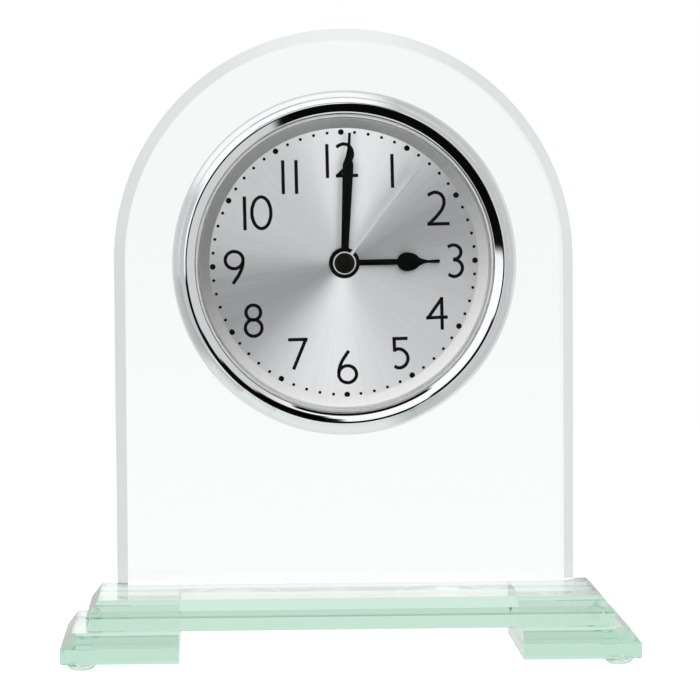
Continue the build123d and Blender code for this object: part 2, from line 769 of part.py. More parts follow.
def make_stator():
    """Soft iron loop round the magnet, out to both ends of the coil core."""
    ends = Vector(coil_x, core_half), Vector(coil_x, -core_half)
    bends = Vector(arm_x, core_half), Vector(arm_x, -core_half)
    loop = strip([ends[0], rotor_place, bends[0], bends[1], ends[1]], STATOR_WIDTH)
    eye = MAGNET_RADIUS + MAGNET_AIR_GAP
    loop += at(rotor_place, Circle(eye + STATOR_EYE_WALL))
    return plate(loop - at(rotor_place, Circle(eye)), stator_front, stator_back)


def make_coil_core():
    bar = Rectangle(CORE_WIDTH, 2 * core_half + CORE_WIDTH)
    return plate(Pos(coil_x, 0) * bar, stator_back, core_back)


def along_coil(solid):
    """Solid drawn about z, laid along the core."""
    return Pos(coil_x, 0, core_middle) * Rot(90, 0, 0) * solid


def make_coil_bobbin():
    """Flanged former with a slot for the core."""
    end = COIL_LENGTH / 2
    cheek = end - COIL_FLANGE
    former = turned(
        (0, end),
        (COIL_FLANGE_RADIUS, end),
        (COIL_FLANGE_RADIUS, cheek),
        (coil_tube, cheek),
        (coil_tube, -cheek),
        (COIL_FLANGE_RADIUS, -cheek),
        (COIL_FLANGE_RADIUS, -end),
        (0, -end),
    )
    slot = Rectangle(CORE_WIDTH + 2 * COIL_CLEARANCE, CORE_THICKNESS + 2 * COIL_CLEARANCE)
    return along_coil(former - plate(slot, end, -end))


def make_coil_winding():
    """Enamelled wire as one solid layer between the cheeks."""
    cheek = COIL_LENGTH / 2 - COIL_FLANGE
    return along_coil(plate(Circle(COIL_RADIUS) - Circle(coil_tube), cheek, -cheek))


def make_circuit_board():
    board = Rectangle(BOARD_LENGTH, BOARD_HEIGHT)
    return plate(Pos(board_x, board_y) * board, board_front, board_back)


def make_timing_crystal():
    """Small can that lies along the board."""
    x = board_x + BOARD_ITEM_SHARE * BOARD_LENGTH
    can = Rot(0, 90, 0) * Cylinder(CAN_RADIUS, CAN_LENGTH)
    return Pos(x, board_y, board_back - CAN_RADIUS) * can


def make_timing_chip():
    """Low round drop of resin over the chip."""
    x = board_x - BOARD_ITEM_SHARE * BOARD_LENGTH
    return rod(CHIP_RADIUS, board_back, board_back - CHIP_HEIGHT, Vector(x, board_y))


def make_button_cell():
    """Cell with its cap to the front and its can to the back."""
    can_front = cell_front - CELL_CAP_HEIGHT
    cell = turned(
        (0, cell_front),
        (CELL_CAP_RADIUS, cell_front),
        (CELL_CAP_RADIUS, can_front),
        (CELL_RADIUS - CELL_EDGE, can_front),
        (CELL_RADIUS, can_front - CELL_EDGE),
        (CELL_RADIUS, cell_back + CELL_EDGE),
        (CELL_RADIUS - CELL_EDGE, cell_back),
        (0, cell_back),
    )
    return Pos(cell_place.X, cell_place.Y) * cell


def contact(start, lane, tab_place, knee_rise):
    """Strip on the front plate from the cell, down a lane and across to a tab under the board."""
    knee = Vector(lane, tab_place.Y + knee_rise)
    route = [start, Vector(lane, start.Y), knee, tab_place]
    piece = plate(strip(route, CONTACT_WIDTH), train_front, cell_front)
    tab = at(tab_place, Rectangle(CONTACT_WIDTH, CONTACT_THICKNESS))
    return piece + plate(tab, cell_front, board_front)


def make_cell_contact_minus():
    """Contact that lies under the cap of the cell."""
    start = cell_place - Vector(0, CONTACT_PITCH / 2)
    tab_place = Vector(board_left + MINUS_TAB_PLACE, tab_y)
    return contact(start, minus_lane, tab_place, MINUS_KNEE_RISE)


def make_cell_contact_plus():
    """Contact with a leaf that stands against the side of the cell."""
    out = CELL_RADIUS + PRESS_FIT + CONTACT_THICKNESS / 2
    leaf_place = cell_place + Vector(-out, CONTACT_PITCH / 2)
    tab_place = Vector(board_left + PLUS_TAB_PLACE, tab_y)
    start = leaf_place - Vector(CONTACT_WIDTH / 2, 0)
    piece = contact(start, plus_lane, tab_place, PLUS_KNEE_RISE)
    leaf = at(leaf_place, Rectangle(CONTACT_THICKNESS, CONTACT_LEAF_WIDTH))
    return piece + plate(leaf, train_front, cell_back + CELL_EDGE)


# Hands

def needle_end(start, neck, length, bow):
    """Outline from a shoulder, in by hollow curves to a fine straight needle."""
    half = NEEDLE_WIDTH / 2
    right = bowed((half, neck), start, -bow)
    left = bowed((-start[0], start[1]), (-half, neck), -bow)
    tip = Polyline((half, neck), (half, length), (-half, length), (-half, neck))
    return make_face([right, tip, left, Line(start, (-start[0], start[1]))])


def on_arbor(outline, radius, collet, front):
    """Flat hand with a collet behind it, bored for its arbor."""
    back = front - HAND_THICKNESS
    hand = plate(outline, front, back) + rod(radius + BOSS_WALL, back, back - collet)
    return hand - rod(radius + PRESS_FIT, front, back - collet)


def make_hour_hand():
    """Pear hand: slim stem, round bulb and needle."""
    turn = math.radians(BULB_FLARE_ANGLE)
    side = HOUR_BULB_RADIUS * math.cos(turn), HOUR_BULB_PLACE + HOUR_BULB_RADIUS * math.sin(turn)
    stem = Rectangle(HOUR_STEM_WIDTH, HOUR_BULB_PLACE, align=(Align.CENTER, Align.MIN))
    outline = Circle(HOUR_BOSS_RADIUS) + stem
    outline += Pos(0, HOUR_BULB_PLACE) * Circle(HOUR_BULB_RADIUS)
    outline += needle_end(side, HOUR_NECK_PLACE, HOUR_LENGTH, BULB_FLARE)
    hand = on_arbor(outline, HOUR_TUBE_RADIUS, BOSS_DEPTH, hour_front)
    return Rot(0, 0, -HOUR_HAND_ANGLE) * hand


def make_minute_hand():
    """Long hand that widens to a shoulder and ends in a needle."""
    stem, blade = MINUTE_STEM_WIDTH / 2, MINUTE_BLADE_WIDTH / 2
    side = blade, MINUTE_BLADE_PLACE
    taper = Polyline((-stem, 0), (stem, 0), side, (-blade, MINUTE_BLADE_PLACE), close=True)
    outline = Circle(MINUTE_BOSS_RADIUS) + make_face(taper)
    outline += needle_end(side, MINUTE_NECK_PLACE, MINUTE_LENGTH, BLADE_FLARE)
    hand = on_arbor(outline, MINUTE_TUBE_RADIUS, BOSS_DEPTH, minute_front)
    return Rot(0, 0, -MINUTE_HAND_ANGLE) * hand


def make_second_hand():
    """Fine needle on a disc, with a wider root over the boss of the minute hand."""
    needle = Rectangle(SECOND_WIDTH, SECOND_LENGTH, align=(Align.CENTER, Align.MIN))
    root = Rectangle(SECOND_ROOT_WIDTH, MINUTE_BOSS_RADIUS, align=(Align.CENTER, Align.MIN))
    outline = Circle(SECOND_RING_RADIUS) + needle + root
    hand = on_arbor(outline, SECONDS_SHAFT_RADIUS, BOSS_DEPTH, second_front)
    return Rot(0, 0, -SECOND_HAND_ANGLE) * hand


def make_second_hand_cap():
    cap = rod(SECOND_CAP_RADIUS, second_front + SECOND_CAP_RISE, second_front)
    return chamfer(cap.edges().filter_by(GeomType.CIRCLE).sort_by(Axis.Z)[-1], SECOND_CAP_EDGE)


# Output

STAND = {
    "plinth": make_plinth,
    "left_foot": make_left_foot,
    "right_foot": make_right_foot,
    "bumpers": make_bumpers,
}
ON_FACE = {
    "arch_panel": make_arch_panel,
    "bezel": make_bezel,
    "crystal": make_crystal,
    "dial_ring": make_dial_ring,
    "dial": make_dial,
    "insert_case": make_insert_case,
    "grip_sleeve": make_grip_sleeve,
    "movement_case": make_movement_case,
    "movement_cover": make_movement_cover,
    "battery_hatch": make_battery_hatch,
    "case_screws": make_case_screws,
    "rotor": make_rotor,
    "drive_wheel": make_drive_wheel,
    "seconds_wheel": make_seconds_wheel,
    "third_wheel": make_third_wheel,
    "centre_wheel": make_centre_wheel,
    "motion_wheel": make_motion_wheel,
    "hour_wheel": make_hour_wheel,
    "setting_pinion": make_setting_pinion,
    "setting_knob": make_setting_knob,
    "stator": make_stator,
    "coil_core": make_coil_core,
    "coil_bobbin": make_coil_bobbin,
    "coil_winding": make_coil_winding,
    "circuit_board": make_circuit_board,
    "timing_crystal": make_timing_crystal,
    "timing_chip": make_timing_chip,
    "button_cell": make_button_cell,
    "cell_contact_minus": make_cell_contact_minus,
    "cell_contact_plus": make_cell_contact_plus,
    "hour_hand": make_hour_hand,
    "minute_hand": make_minute_hand,
    "second_hand": make_second_hand,
    "second_hand_cap": make_second_hand_cap,
}


def save(name, piece):
    piece.label = name
    export_step(piece, os.path.join("parts", name + ".step"))


def main():
    os.makedirs("parts", exist_ok=True)
    for name, make in STAND.items():
        save(name, make())
    for name, make in ON_FACE.items():
        save(name, FACE_FRAME * make())


if __name__ == "__main__":
    main()
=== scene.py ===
"""Dresses the bevelled glass arch clock over the shared CAD frame and sets it in a white studio."""

import math

import bmesh
import bpy
from mathutils import Matrix, Vector


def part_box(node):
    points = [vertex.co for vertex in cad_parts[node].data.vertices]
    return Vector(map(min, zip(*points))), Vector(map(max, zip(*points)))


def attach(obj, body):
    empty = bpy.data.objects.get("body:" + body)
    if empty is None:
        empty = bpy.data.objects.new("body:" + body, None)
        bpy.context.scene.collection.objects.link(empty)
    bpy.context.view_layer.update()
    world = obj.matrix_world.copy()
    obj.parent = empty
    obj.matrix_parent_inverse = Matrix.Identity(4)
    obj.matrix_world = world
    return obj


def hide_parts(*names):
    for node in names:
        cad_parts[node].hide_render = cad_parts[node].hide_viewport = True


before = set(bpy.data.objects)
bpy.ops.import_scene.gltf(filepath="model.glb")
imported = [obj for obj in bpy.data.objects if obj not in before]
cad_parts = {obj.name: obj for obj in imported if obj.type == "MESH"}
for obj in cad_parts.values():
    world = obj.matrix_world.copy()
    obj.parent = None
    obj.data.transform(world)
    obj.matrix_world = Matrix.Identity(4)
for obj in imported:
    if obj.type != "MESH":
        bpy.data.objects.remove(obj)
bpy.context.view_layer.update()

bl_info = {
    "name": "Glass Arch Clock",
    "version": (1, 0, 0),
    "blender": (4, 5, 0),
    "location": "View3D > Sidebar > Clock",
    "description": "Models and finishes a bevelled glass shelf clock and its studio",
    "category": "Object",
}

# Lengths are in metres. The clock faces -Y and stands on z = 0.
MM = 0.001
HAIR = 1e-6
SPARE = 0.01
FLAT = math.radians(0.5)
CREASE = math.radians(40)
FORWARD = Vector((0.0, -1.0, 0.0))
UP = Vector((0.0, 0.0, 1.0))
WHITE = (1.0, 1.0, 1.0, 1.0)
PANEL_LOW, PANEL_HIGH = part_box("arch_panel")
PLINTH_LOW, PLINTH_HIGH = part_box("plinth")
LEFT_FOOT_LOW, LEFT_FOOT_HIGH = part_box("left_foot")
RIGHT_FOOT_LOW, RIGHT_FOOT_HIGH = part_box("right_foot")
BUMPER_LOW, BUMPER_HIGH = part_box("bumpers")
BEZEL_LOW, BEZEL_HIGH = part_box("bezel")
RING_LOW, RING_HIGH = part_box("dial_ring")
DIAL_LOW, DIAL_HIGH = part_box("dial")
FACE = Vector((0.0, PANEL_LOW.y, (BEZEL_LOW.z + BEZEL_HIGH.z) / 2))

# How finely round work is cut
ARCH_SIDES = HOLE_SIDES = BEZEL_SIDES = 256
RING_SIDES = 192
BUMPER_SIDES = 48
HOUR_DOT_SIDES, MINUTE_DOT_SIDES = 20, 12
FLOOR_SIDES = 96
BUMPER_STEPS = ROUNDING_STEPS = 10
OUTER_SLOPE_STEPS, INNER_SLOPE_STEPS = 24, 16
COVE_STEPS = 20
BOWL_KNOTS = 12
BOWL_STEPS, STROKE_STEPS = 6, 8

# Numerals: strokes in a box one wide and one high, (kind, points). A smooth stroke runs through its
# points as a curve, a bar is a straight stroke with square ends, a slant one ends at its points,
# and a bowl is an ellipse (centre, half sizes).
STROKES = {
    "1": [("bar", [(0.5, 0.0), (0.5, 1.0)])],
    "2": [
        ("smooth", [(-0.03, 0.905), (0.17, 0.975), (0.4, 1.0), (0.67, 0.925), (0.82, 0.73),
                    (0.76, 0.53), (0.53, 0.32), (0.0, 0.0)]),
        ("bar", [(0.0, 0.0), (1.0, 0.0)]),
    ],
    "3": [
        ("smooth", [(0.0, 0.94), (0.2, 0.985), (0.42, 1.0), (0.76, 0.935), (0.91, 0.78),
                    (0.76, 0.61), (0.36, 0.535)]),
        ("smooth", [(0.36, 0.535), (0.76, 0.48), (0.99, 0.3), (0.89, 0.12), (0.6, 0.015),
                    (0.36, 0.0), (0.0, 0.07)]),
    ],
    "4": [
        ("bar", [(0.78, 0.0), (0.78, 1.0)]),
        ("slant", [(0.81, 1.03), (-0.02, 0.33)]),
        ("bar", [(0.0, 0.36), (1.0, 0.37)]),
    ],
    "5": [
        ("bar", [(0.0, 1.0), (0.87, 1.0)]),
        ("bar", [(0.0, 1.0), (0.02, 0.61)]),
        ("smooth", [(0.02, 0.61), (0.36, 0.645), (0.74, 0.56), (0.98, 0.36), (0.87, 0.14),
                    (0.55, 0.02), (0.28, 0.0), (-0.02, 0.06)]),
    ],
    "6": [
        ("bowl", [(0.5, 0.27), (0.5, 0.27)]),
        ("smooth", [(0.6, 1.02), (0.385, 0.85), (0.2, 0.69), (0.03, 0.44), (0.0, 0.27)]),
    ],
    "7": [
        ("bar", [(0.0, 1.0), (1.0, 1.0)]),
        ("slant", [(1.02, 1.04), (0.19, -0.04)]),
    ],
    "8": [
        ("bowl", [(0.5, 0.76), (0.44, 0.24)]),
        ("bowl", [(0.5, 0.265), (0.5, 0.265)]),
    ],
    "9": [
        ("bowl", [(0.5, 0.73), (0.5, 0.27)]),
        ("smooth", [(0.4, -0.02), (0.615, 0.15), (0.8, 0.31), (0.97, 0.56), (1.0, 0.73)]),
    ],
    "0": [("bowl", [(0.5, 0.5), (0.5, 0.5)])],
}
# Each numeral's middle on the dial, across and up, then its width and height, in millimetres.
NUMERALS = [
    ("1", -4.36, 27.40, 0.9, 9.16), ("2", 0.87, 27.72, 6.0, 9.45),
    ("1", 13.17, 24.67, 0.9, 9.12), ("2", 25.50, 14.55, 6.04, 9.45),
    ("3", 30.06, 0.30, 4.78, 9.40), ("4", 25.02, -13.94, 5.85, 8.85),
    ("5", 15.31, -24.59, 4.60, 8.85), ("6", 0.75, -28.22, 5.70, 9.40),
    ("7", -12.56, -24.56, 5.30, 8.68), ("8", -24.55, -15.47, 5.40, 9.33),
    ("9", -29.61, -1.05, 5.71, 9.47), ("1", -26.69, 13.48, 0.9, 9.12),
    ("0", -22.20, 13.62, 6.02, 9.41), ("1", -16.29, 23.15, 0.9, 9.13),
    ("1", -12.72, 23.18, 0.9, 9.13),
]


def length(name, description, default):
    """A size that a user may change."""
    return bpy.props.FloatProperty(
        name=name, description=description, default=default, min=0.0, precision=5,
        subtype="DISTANCE", unit="LENGTH",
    )


def turn_angle(name, description, degrees):
    """An angle that a user may change."""
    return bpy.props.FloatProperty(
        name=name, description=description, default=math.radians(degrees),
        subtype="ANGLE", unit="ROTATION",
    )


def level(name, description, default):
    """A plain strength or amount that a user may change."""
    return bpy.props.FloatProperty(name=name, description=description, default=default, min=0.0)


def colour(name, description, red, green, blue):
    """A linear colour that a user may change."""
    return bpy.props.FloatVectorProperty(
        name=name, description=description, default=(red, green, blue, 1.0), size=4,
        min=0.0, max=1.0, subtype="COLOR",
    )


class ClockSizes(bpy.types.PropertyGroup):
    """Sizes of the pieces that are modelled here."""

    bevel_width: length("Bevel width", "How far the bevel runs in from the glass edge", 0.003)
    bevel_depth: length("Bevel depth", "How far the bevel runs down the glass edge", 0.004)
    arris: length("Arris", "Narrow ground-off corner of the glass", 0.0004)
    glue_film: length("Glue film", "How far a glass piece sinks into the glue below it", 0.00002)
    hole_radius: length("Hole radius", "Hole in the glass panel for the insert", 0.0425)
    bumper_radius: length("Bumper radius", "Radius of a clear bumper where it is stuck on", 0.004)
    bumper_flat: length("Bumper flat", "Radius of the flat that a bumper stands on", 0.0018)
    bumper_bow: length("Bumper bow", "How far the side of a bumper swells", 0.0005)
    bezel_edge: length("Bezel edge", "Height of the upright edge of the bezel", 0.0009)
    ridge_radius: length("Ridge radius", "Radius of the highest line of the bezel", 0.0427)
    ridge_height: length("Ridge height", "Height of the ridge before it is rounded", 0.0064)
    ridge_round: length("Ridge round", "How far the rounding runs down both slopes", 0.0003)
    lip_radius: length("Lip radius", "Inner edge of the bezel", 0.03995)
    lip_height: length("Lip height", "Height of the inner edge of the bezel", 0.0046)
    lip_nose: length("Lip nose", "How far the inner edge is rounded", 0.0003)
    lip_thickness: length("Lip thickness", "Thickness of the bezel over the crystal", 0.0005)
    outer_bow: length("Outer bow", "Swell of the bezel's outer slope", 0.00035)
    inner_bow: length("Inner bow", "Swell of the bezel's inner slope", 0.0002)
    seat_radius: length("Seat radius", "Bore of the bezel round the crystal", 0.0411)
    skirt_radius: length("Skirt radius", "Outside of the skirt that enters the glass", 0.0422)
    skirt_depth: length("Skirt depth", "How deep the skirt enters the glass", 0.0024)
    cove_front: length("Cove front", "Radius of the dial ring at the crystal", 0.0400)
    cove_foot: length("Cove foot", "Radius of the dial ring where it meets the dial", 0.0363)
    cove_bend: length("Cove bend", "Radius where the dial ring turns up", 0.0396)
    cove_lift: length("Cove lift", "Height of the dial ring where it turns up", 0.00235)
    cove_toe: length("Cove toe", "Height of the dial ring where it meets the dial", 0.00004)
    cove_cone: level("Cove cone", "Share of the dial ring's slope that is a plain cone", 0.75)
    ring_flange: length("Ring flange", "Depth of the dial ring's outer flange", 0.0022)
    stroke: length("Numeral stroke", "Width of the lines that draw the numerals", 0.00092)
    print_film: length("Print film", "Thickness of the printing ink", 0.00003)
    print_turn: turn_angle("Print turn", "How far the printing is turned on the dial", 1.02)
    print_drop: length("Print drop", "How far the dots sit below the dial's middle", 0.00024)
    dot_ring: length("Dot ring", "Radius of the ring of minute dots", 0.03543)
    hour_dot: length("Hour dot", "Width of a dot at an hour", 0.00155)
    minute_dot: length("Minute dot", "Width of a dot between the hours", 0.00085)
    hand_edge: length("Hand edge", "Softening of the hands' edges", 0.00012)
    blade_start: length("Blade start", "Reach of the plain stem of the minute hand", 0.0250)
    blade_neck: length("Blade neck", "Reach of the minute hand where its needle starts", 0.0324)
    blade_spread: level("Blade spread", "Widening of the minute hand's shoulder", 1.15)
    blade_taper: level("Blade taper", "Shortening of the minute hand's taper", 0.87)
    needle_trim: length("Needle trim", "How much shorter the minute hand's needle is", 0.00055)
    minute_turn: turn_angle("Minute hand turn", "Turn of the minute hand past its CAD place", 0.4)
    hour_angle: turn_angle("Hour hand angle", "Place of the hour hand from twelve", 89.4)
    pear_place: length("Pear place", "Reach of the hour hand at the middle of its pear", 0.0168)
    pear_neck: length("Pear neck", "Reach of the hour hand where its needle starts", 0.0213)
    pear_draw: level("Pear draw", "Lengthening of the hour hand's pear towards its needle", 1.5)
    pear_tip: length("Pear tip", "How much longer the hour hand's needle is", 0.00033)
    pear_needle: level("Pear needle", "Widening of the hour hand's needle", 1.35)
    second_angle: turn_angle("Second hand angle", "Place of the second hand from twelve", 37.6)
    second_root: length("Second hand root", "Reach of the second hand's root", 0.005)
    second_spread: length("Second spread", "Widening of each side of its tip", 0.00015)


class ClockColours(bpy.types.PropertyGroup):
    """Colours of the finishes, as linear values."""

    panel_tint: colour("Panel tint", "What the clear panel lets through", 0.72, 0.93, 0.84)
    # The bevel tint is painted light: a greener tint that stands in for light bent through the
    # panel's bevel.
    bevel_painted_tint: colour("Bevel tint", "What the panel's bevel lets through", 0.945, 1.0, 0.985)
    base_tint: colour("Base tint", "What the green base glass lets through", 0.14, 0.66, 0.39)
    bumper_tint: colour("Bumper tint", "Clear soft plastic of the bumpers", 0.30, 0.72, 0.50)
    chrome: colour("Chrome", "Plated bezel", 0.92, 0.93, 0.94)
    dial_silver: colour("Dial silver", "Brushed dial", 0.86, 0.87, 0.885)
    ring_silver: colour("Ring silver", "Brushed ring round the dial", 0.86, 0.867, 0.857)
    ink: colour("Ink", "Printing on the dial", 0.004, 0.004, 0.005)
    hand_black: colour("Hand black", "Lacquer of the hour and minute hands", 0.0015, 0.002, 0.002)
    second_silver: colour("Second hand", "Pale second hand", 0.70, 0.71, 0.71)
    cap_black: colour("Cap black", "Cap on the second hand", 0.003, 0.003, 0.0025)
    case_black: colour("Case black", "Moulded cup behind the bezel", 0.018, 0.018, 0.019)
    sleeve_grey: colour("Sleeve grey", "Rubber band in the hole", 0.045, 0.045, 0.048)
    movement_black: colour("Movement black", "Shell of the movement", 0.026, 0.026, 0.028)
    hatch_black: colour("Hatch black", "Battery hatch", 0.034, 0.034, 0.036)
    knob_white: colour("Knob white", "Setting knob", 0.74, 0.73, 0.69)
    zinc: colour("Zinc", "Plated screws", 0.62, 0.63, 0.64)
    acetal: colour("Acetal", "Wheels of the train", 0.80, 0.79, 0.74)
    ferrite: colour("Ferrite", "Rotor magnet", 0.07, 0.065, 0.065)
    iron: colour("Iron", "Stator and coil core", 0.52, 0.51, 0.50)
    nylon: colour("Nylon", "Coil bobbin", 0.72, 0.71, 0.66)
    copper: colour("Copper", "Enamelled winding", 0.62, 0.21, 0.08)
    laminate: colour("Laminate", "Circuit board", 0.03, 0.14, 0.06)
    resin: colour("Resin", "Moulded chip", 0.016, 0.016, 0.017)
    nickel: colour("Nickel", "Cell, contacts and crystal can", 0.68, 0.67, 0.64)


class ClockStudio(bpy.types.PropertyGroup):
    """Light levels and the camera's place."""

    ambient: level("Ambient", "Light that the studio gives matt surfaces", 0.68)
    behind: level("Behind", "White seen straight through the glass", 0.985)
    beside: level("Beside", "White seen bent sideways through the glass", 0.71)
    overhead: level("Overhead", "White of the ceiling", 1.06)
    ceiling: level("Ceiling", "White above that the dial ring mirrors", 2.2)
    shade: level("Shade", "Grey below that the dial ring mirrors", 0.19)
    walls: level("Walls", "Grey of the studio beside the clock", 0.57)
    screen: level("Screen", "Grey of the screen in front at the right", 0.66)
    table: level("Table", "Pale grey of the table round the clock", 0.86)
    front: level("Front", "Light that the dial mirrors round the camera", 1.11)
    fan: level("Fan", "Share of extra light from the left and the right", 0.68)
    gap: level("Gap", "Share of the light missing between the lamps", 0.66)
    key_power: level("Key", "Watts of the large lamp on the left", 1.6)
    fill_power: level("Fill", "Watts of the large lamp on the right", 1.3)
    top_power: level("Top", "Watts of the lamp overhead", 5.0)
    back_power: level("Back", "Watts of the lamp behind", 1.6)
    lens: level("Lens", "Focal length of the camera in millimetres", 177.427)
    yaw: turn_angle("Yaw", "How far the camera looks to the right", 2.138)
    pitch: turn_angle("Pitch", "How far the camera looks down", 3.124)
    roll: turn_angle("Roll", "How far the camera leans", -0.381)
    spot: bpy.props.FloatVectorProperty(
        name="Camera place", description="Where the camera stands", subtype="XYZ", unit="LENGTH",
        size=3, default=(-0.03328, -0.91870, 0.13220),
    )


# Directions


def cosine(degrees):
    """Cosine of an angle in degrees."""
    return math.cos(math.radians(degrees))


def clockwise(degrees):
    """Direction on the face at an angle from twelve o'clock."""
    return (math.sin(math.radians(degrees)), 0.0, math.cos(math.radians(degrees)))


# Modelling by hand: selection, primitives and turned work


def start():
    """Go to object mode with nothing selected."""
    if bpy.context.mode != "OBJECT":
        bpy.ops.object.mode_set(mode="OBJECT")
    bpy.ops.object.select_all(action="DESELECT")


def take(piece):
    """Select one piece alone and make it the active one."""
    start()
    piece.select_set(True)
    bpy.context.view_layer.objects.active = piece
    return piece


def added(name):
    """Name the primitive that was just added and put its place into its mesh."""
    piece = bpy.context.object
    piece.name = piece.data.name = name
    bpy.ops.object.transform_apply(location=True, rotation=True, scale=True)
    return piece


def shape(select="FACE"):
    """Open the active piece in edit mode with all of it selected."""
    bpy.ops.object.mode_set(mode="EDIT")
    bpy.ops.mesh.select_mode(type=select)
    bpy.ops.mesh.select_all(action="SELECT")


def middle(item):
    """Middle of a vertex, edge or face."""
    if isinstance(item, bmesh.types.BMVert):
        return item.co
    if isinstance(item, bmesh.types.BMEdge):
        return (item.verts[0].co + item.verts[1].co) / 2
    return item.calc_center_median()


def pick(kind, test):
    """Select only the verts, edges or faces whose middle passes a test."""
    bpy.ops.mesh.select_mode(type={"verts": "VERT", "edges": "EDGE", "faces": "FACE"}[kind])
    bpy.ops.mesh.select_all(action="DESELECT")
    mesh = bpy.context.edit_object.data
    shell = bmesh.from_edit_mesh(mesh)
    chosen = [item for item in getattr(shell, kind) if test(middle(item))]
    if not chosen:
        raise RuntimeError(f"{bpy.context.edit_object.name} has none of the {kind} to shape")
    for item in chosen:
        item.select_set(True)
    shell.select_flush_mode()
    bmesh.update_edit_mesh(mesh)


def pull(offset):
    """Extrude the selected faces by an offset."""
    bpy.ops.mesh.extrude_region_move(TRANSFORM_OT_translate={"value": offset})


def face_outwards():
    """Turn every face of the open piece outwards."""
    bpy.ops.mesh.select_all(action="SELECT")
    bpy.ops.mesh.normals_make_consistent(inside=False)


def grind_arris(width, test):
    """Grind a narrow arris along the edges that pass a test."""
    pick("edges", test)
    bpy.ops.mesh.bevel(offset_type="OFFSET", offset=width, segments=1, affect="EDGES")


def turned(name, profile, centre, axis, sides, closed):
    """Draw a circle out ring by ring along a profile of (radius, height) pairs about an axis."""
    across = Vector((1.0, 1.0, 1.0)) - Vector([abs(part) for part in axis])
    radius, height = profile[0]
    tilt = (math.pi / 2, 0.0, 0.0) if axis == FORWARD else (0.0, 0.0, 0.0)
    start()
    bpy.ops.mesh.primitive_circle_add(
        vertices=sides, radius=radius, location=centre + axis * height, rotation=tilt
    )
    piece = added(name)
    shape("EDGE")
    for next_radius, next_height in profile[1:]:
        rise = axis * (next_height - height)
        bpy.ops.mesh.extrude_edges_move(TRANSFORM_OT_translate={"value": rise})
        grow = next_radius / radius
        size = [1.0 + (grow - 1.0) * part for part in across]
        bpy.ops.transform.resize(value=size, center_override=centre + axis * next_height)
        radius, height = next_radius, next_height
    if not closed:
        bpy.ops.mesh.edge_face_add()
        first = (centre + axis * profile[0][1]).dot(axis)
        pick("edges", lambda spot: abs(spot.dot(axis) - first) < HAIR)
        bpy.ops.mesh.edge_face_add()
    bpy.ops.object.mode_set(mode="OBJECT")
    return piece


def bowed(first, last, bow, steps):
    """Points from first to last on a profile, swelling outwards by a bow at the middle."""
    run, rise = last[0] - first[0], last[1] - first[1]
    size = math.hypot(run, rise)
    points = []
    for step in range(steps + 1):
        t = step / steps
        swell = 4.0 * bow * t * (1.0 - t) / size
        points.append((first[0] + run * t + rise * swell, first[1] + rise * t - run * swell))
    return points


def softly(before, corner, after, steps):
    """Points that round a corner between two points of a profile."""
    points = []
    for step in range(1, steps):
        t = step / steps
        shares = ((1 - t) ** 2, 2 * t * (1 - t), t * t)
        points.append(tuple(
            sum(share * part for share, part in zip(shares, parts))
            for parts in zip(before, corner, after)
        ))
    return points


def scattered(name, placed):
    """Copies of models at their places, joined as one piece in the models' stead."""
    copies = []
    for model, spot in placed:
        copy = bpy.data.objects.new(name, model.data.copy())
        copy.location = spot
        bpy.context.collection.objects.link(copy)
        copies.append(copy)
    start()
    for model, _ in placed:
        model.select_set(True)
    bpy.ops.object.delete()
    for copy in copies:
        copy.select_set(True)
    bpy.context.view_layer.objects.active = copies[0]
    bpy.ops.object.join()
    return added(name)


def open_edges(piece):
    """How many edges of a mesh don't join exactly two faces."""
    shell = bmesh.new()
    shell.from_mesh(piece.data)
    count = sum(len(edge.link_faces) != 2 for edge in shell.edges)
    shell.free()
    return count


def settle(piece, body, nodes, finish, smooth=30.0):
    """Close a piece, give it its finish and let it ride on its body in place of its CAD nodes."""
    take(piece)
    shape()
    bpy.ops.mesh.remove_doubles(threshold=HAIR / 10)
    face_outwards()
    bpy.ops.object.mode_set(mode="OBJECT")
    bpy.ops.object.transform_apply(location=True, rotation=True, scale=True)
    gaps = open_edges(piece)
    if gaps:
        raise RuntimeError(f"{piece.name} has {gaps} open edges")
    bpy.ops.object.shade_smooth_by_angle(angle=math.radians(smooth))
    piece.data.materials.clear()
    piece.data.materials.append(finish)
    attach(piece, body)
    if nodes:
        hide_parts(*nodes)
    return piece


def dress(finish, *nodes):
    """Give CAD nodes that stay their finish."""
    for node in nodes:
        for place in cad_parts[node].material_slots:
            place.material = finish


# Finishes: wiring of nodes, shared effects and the materials themselves


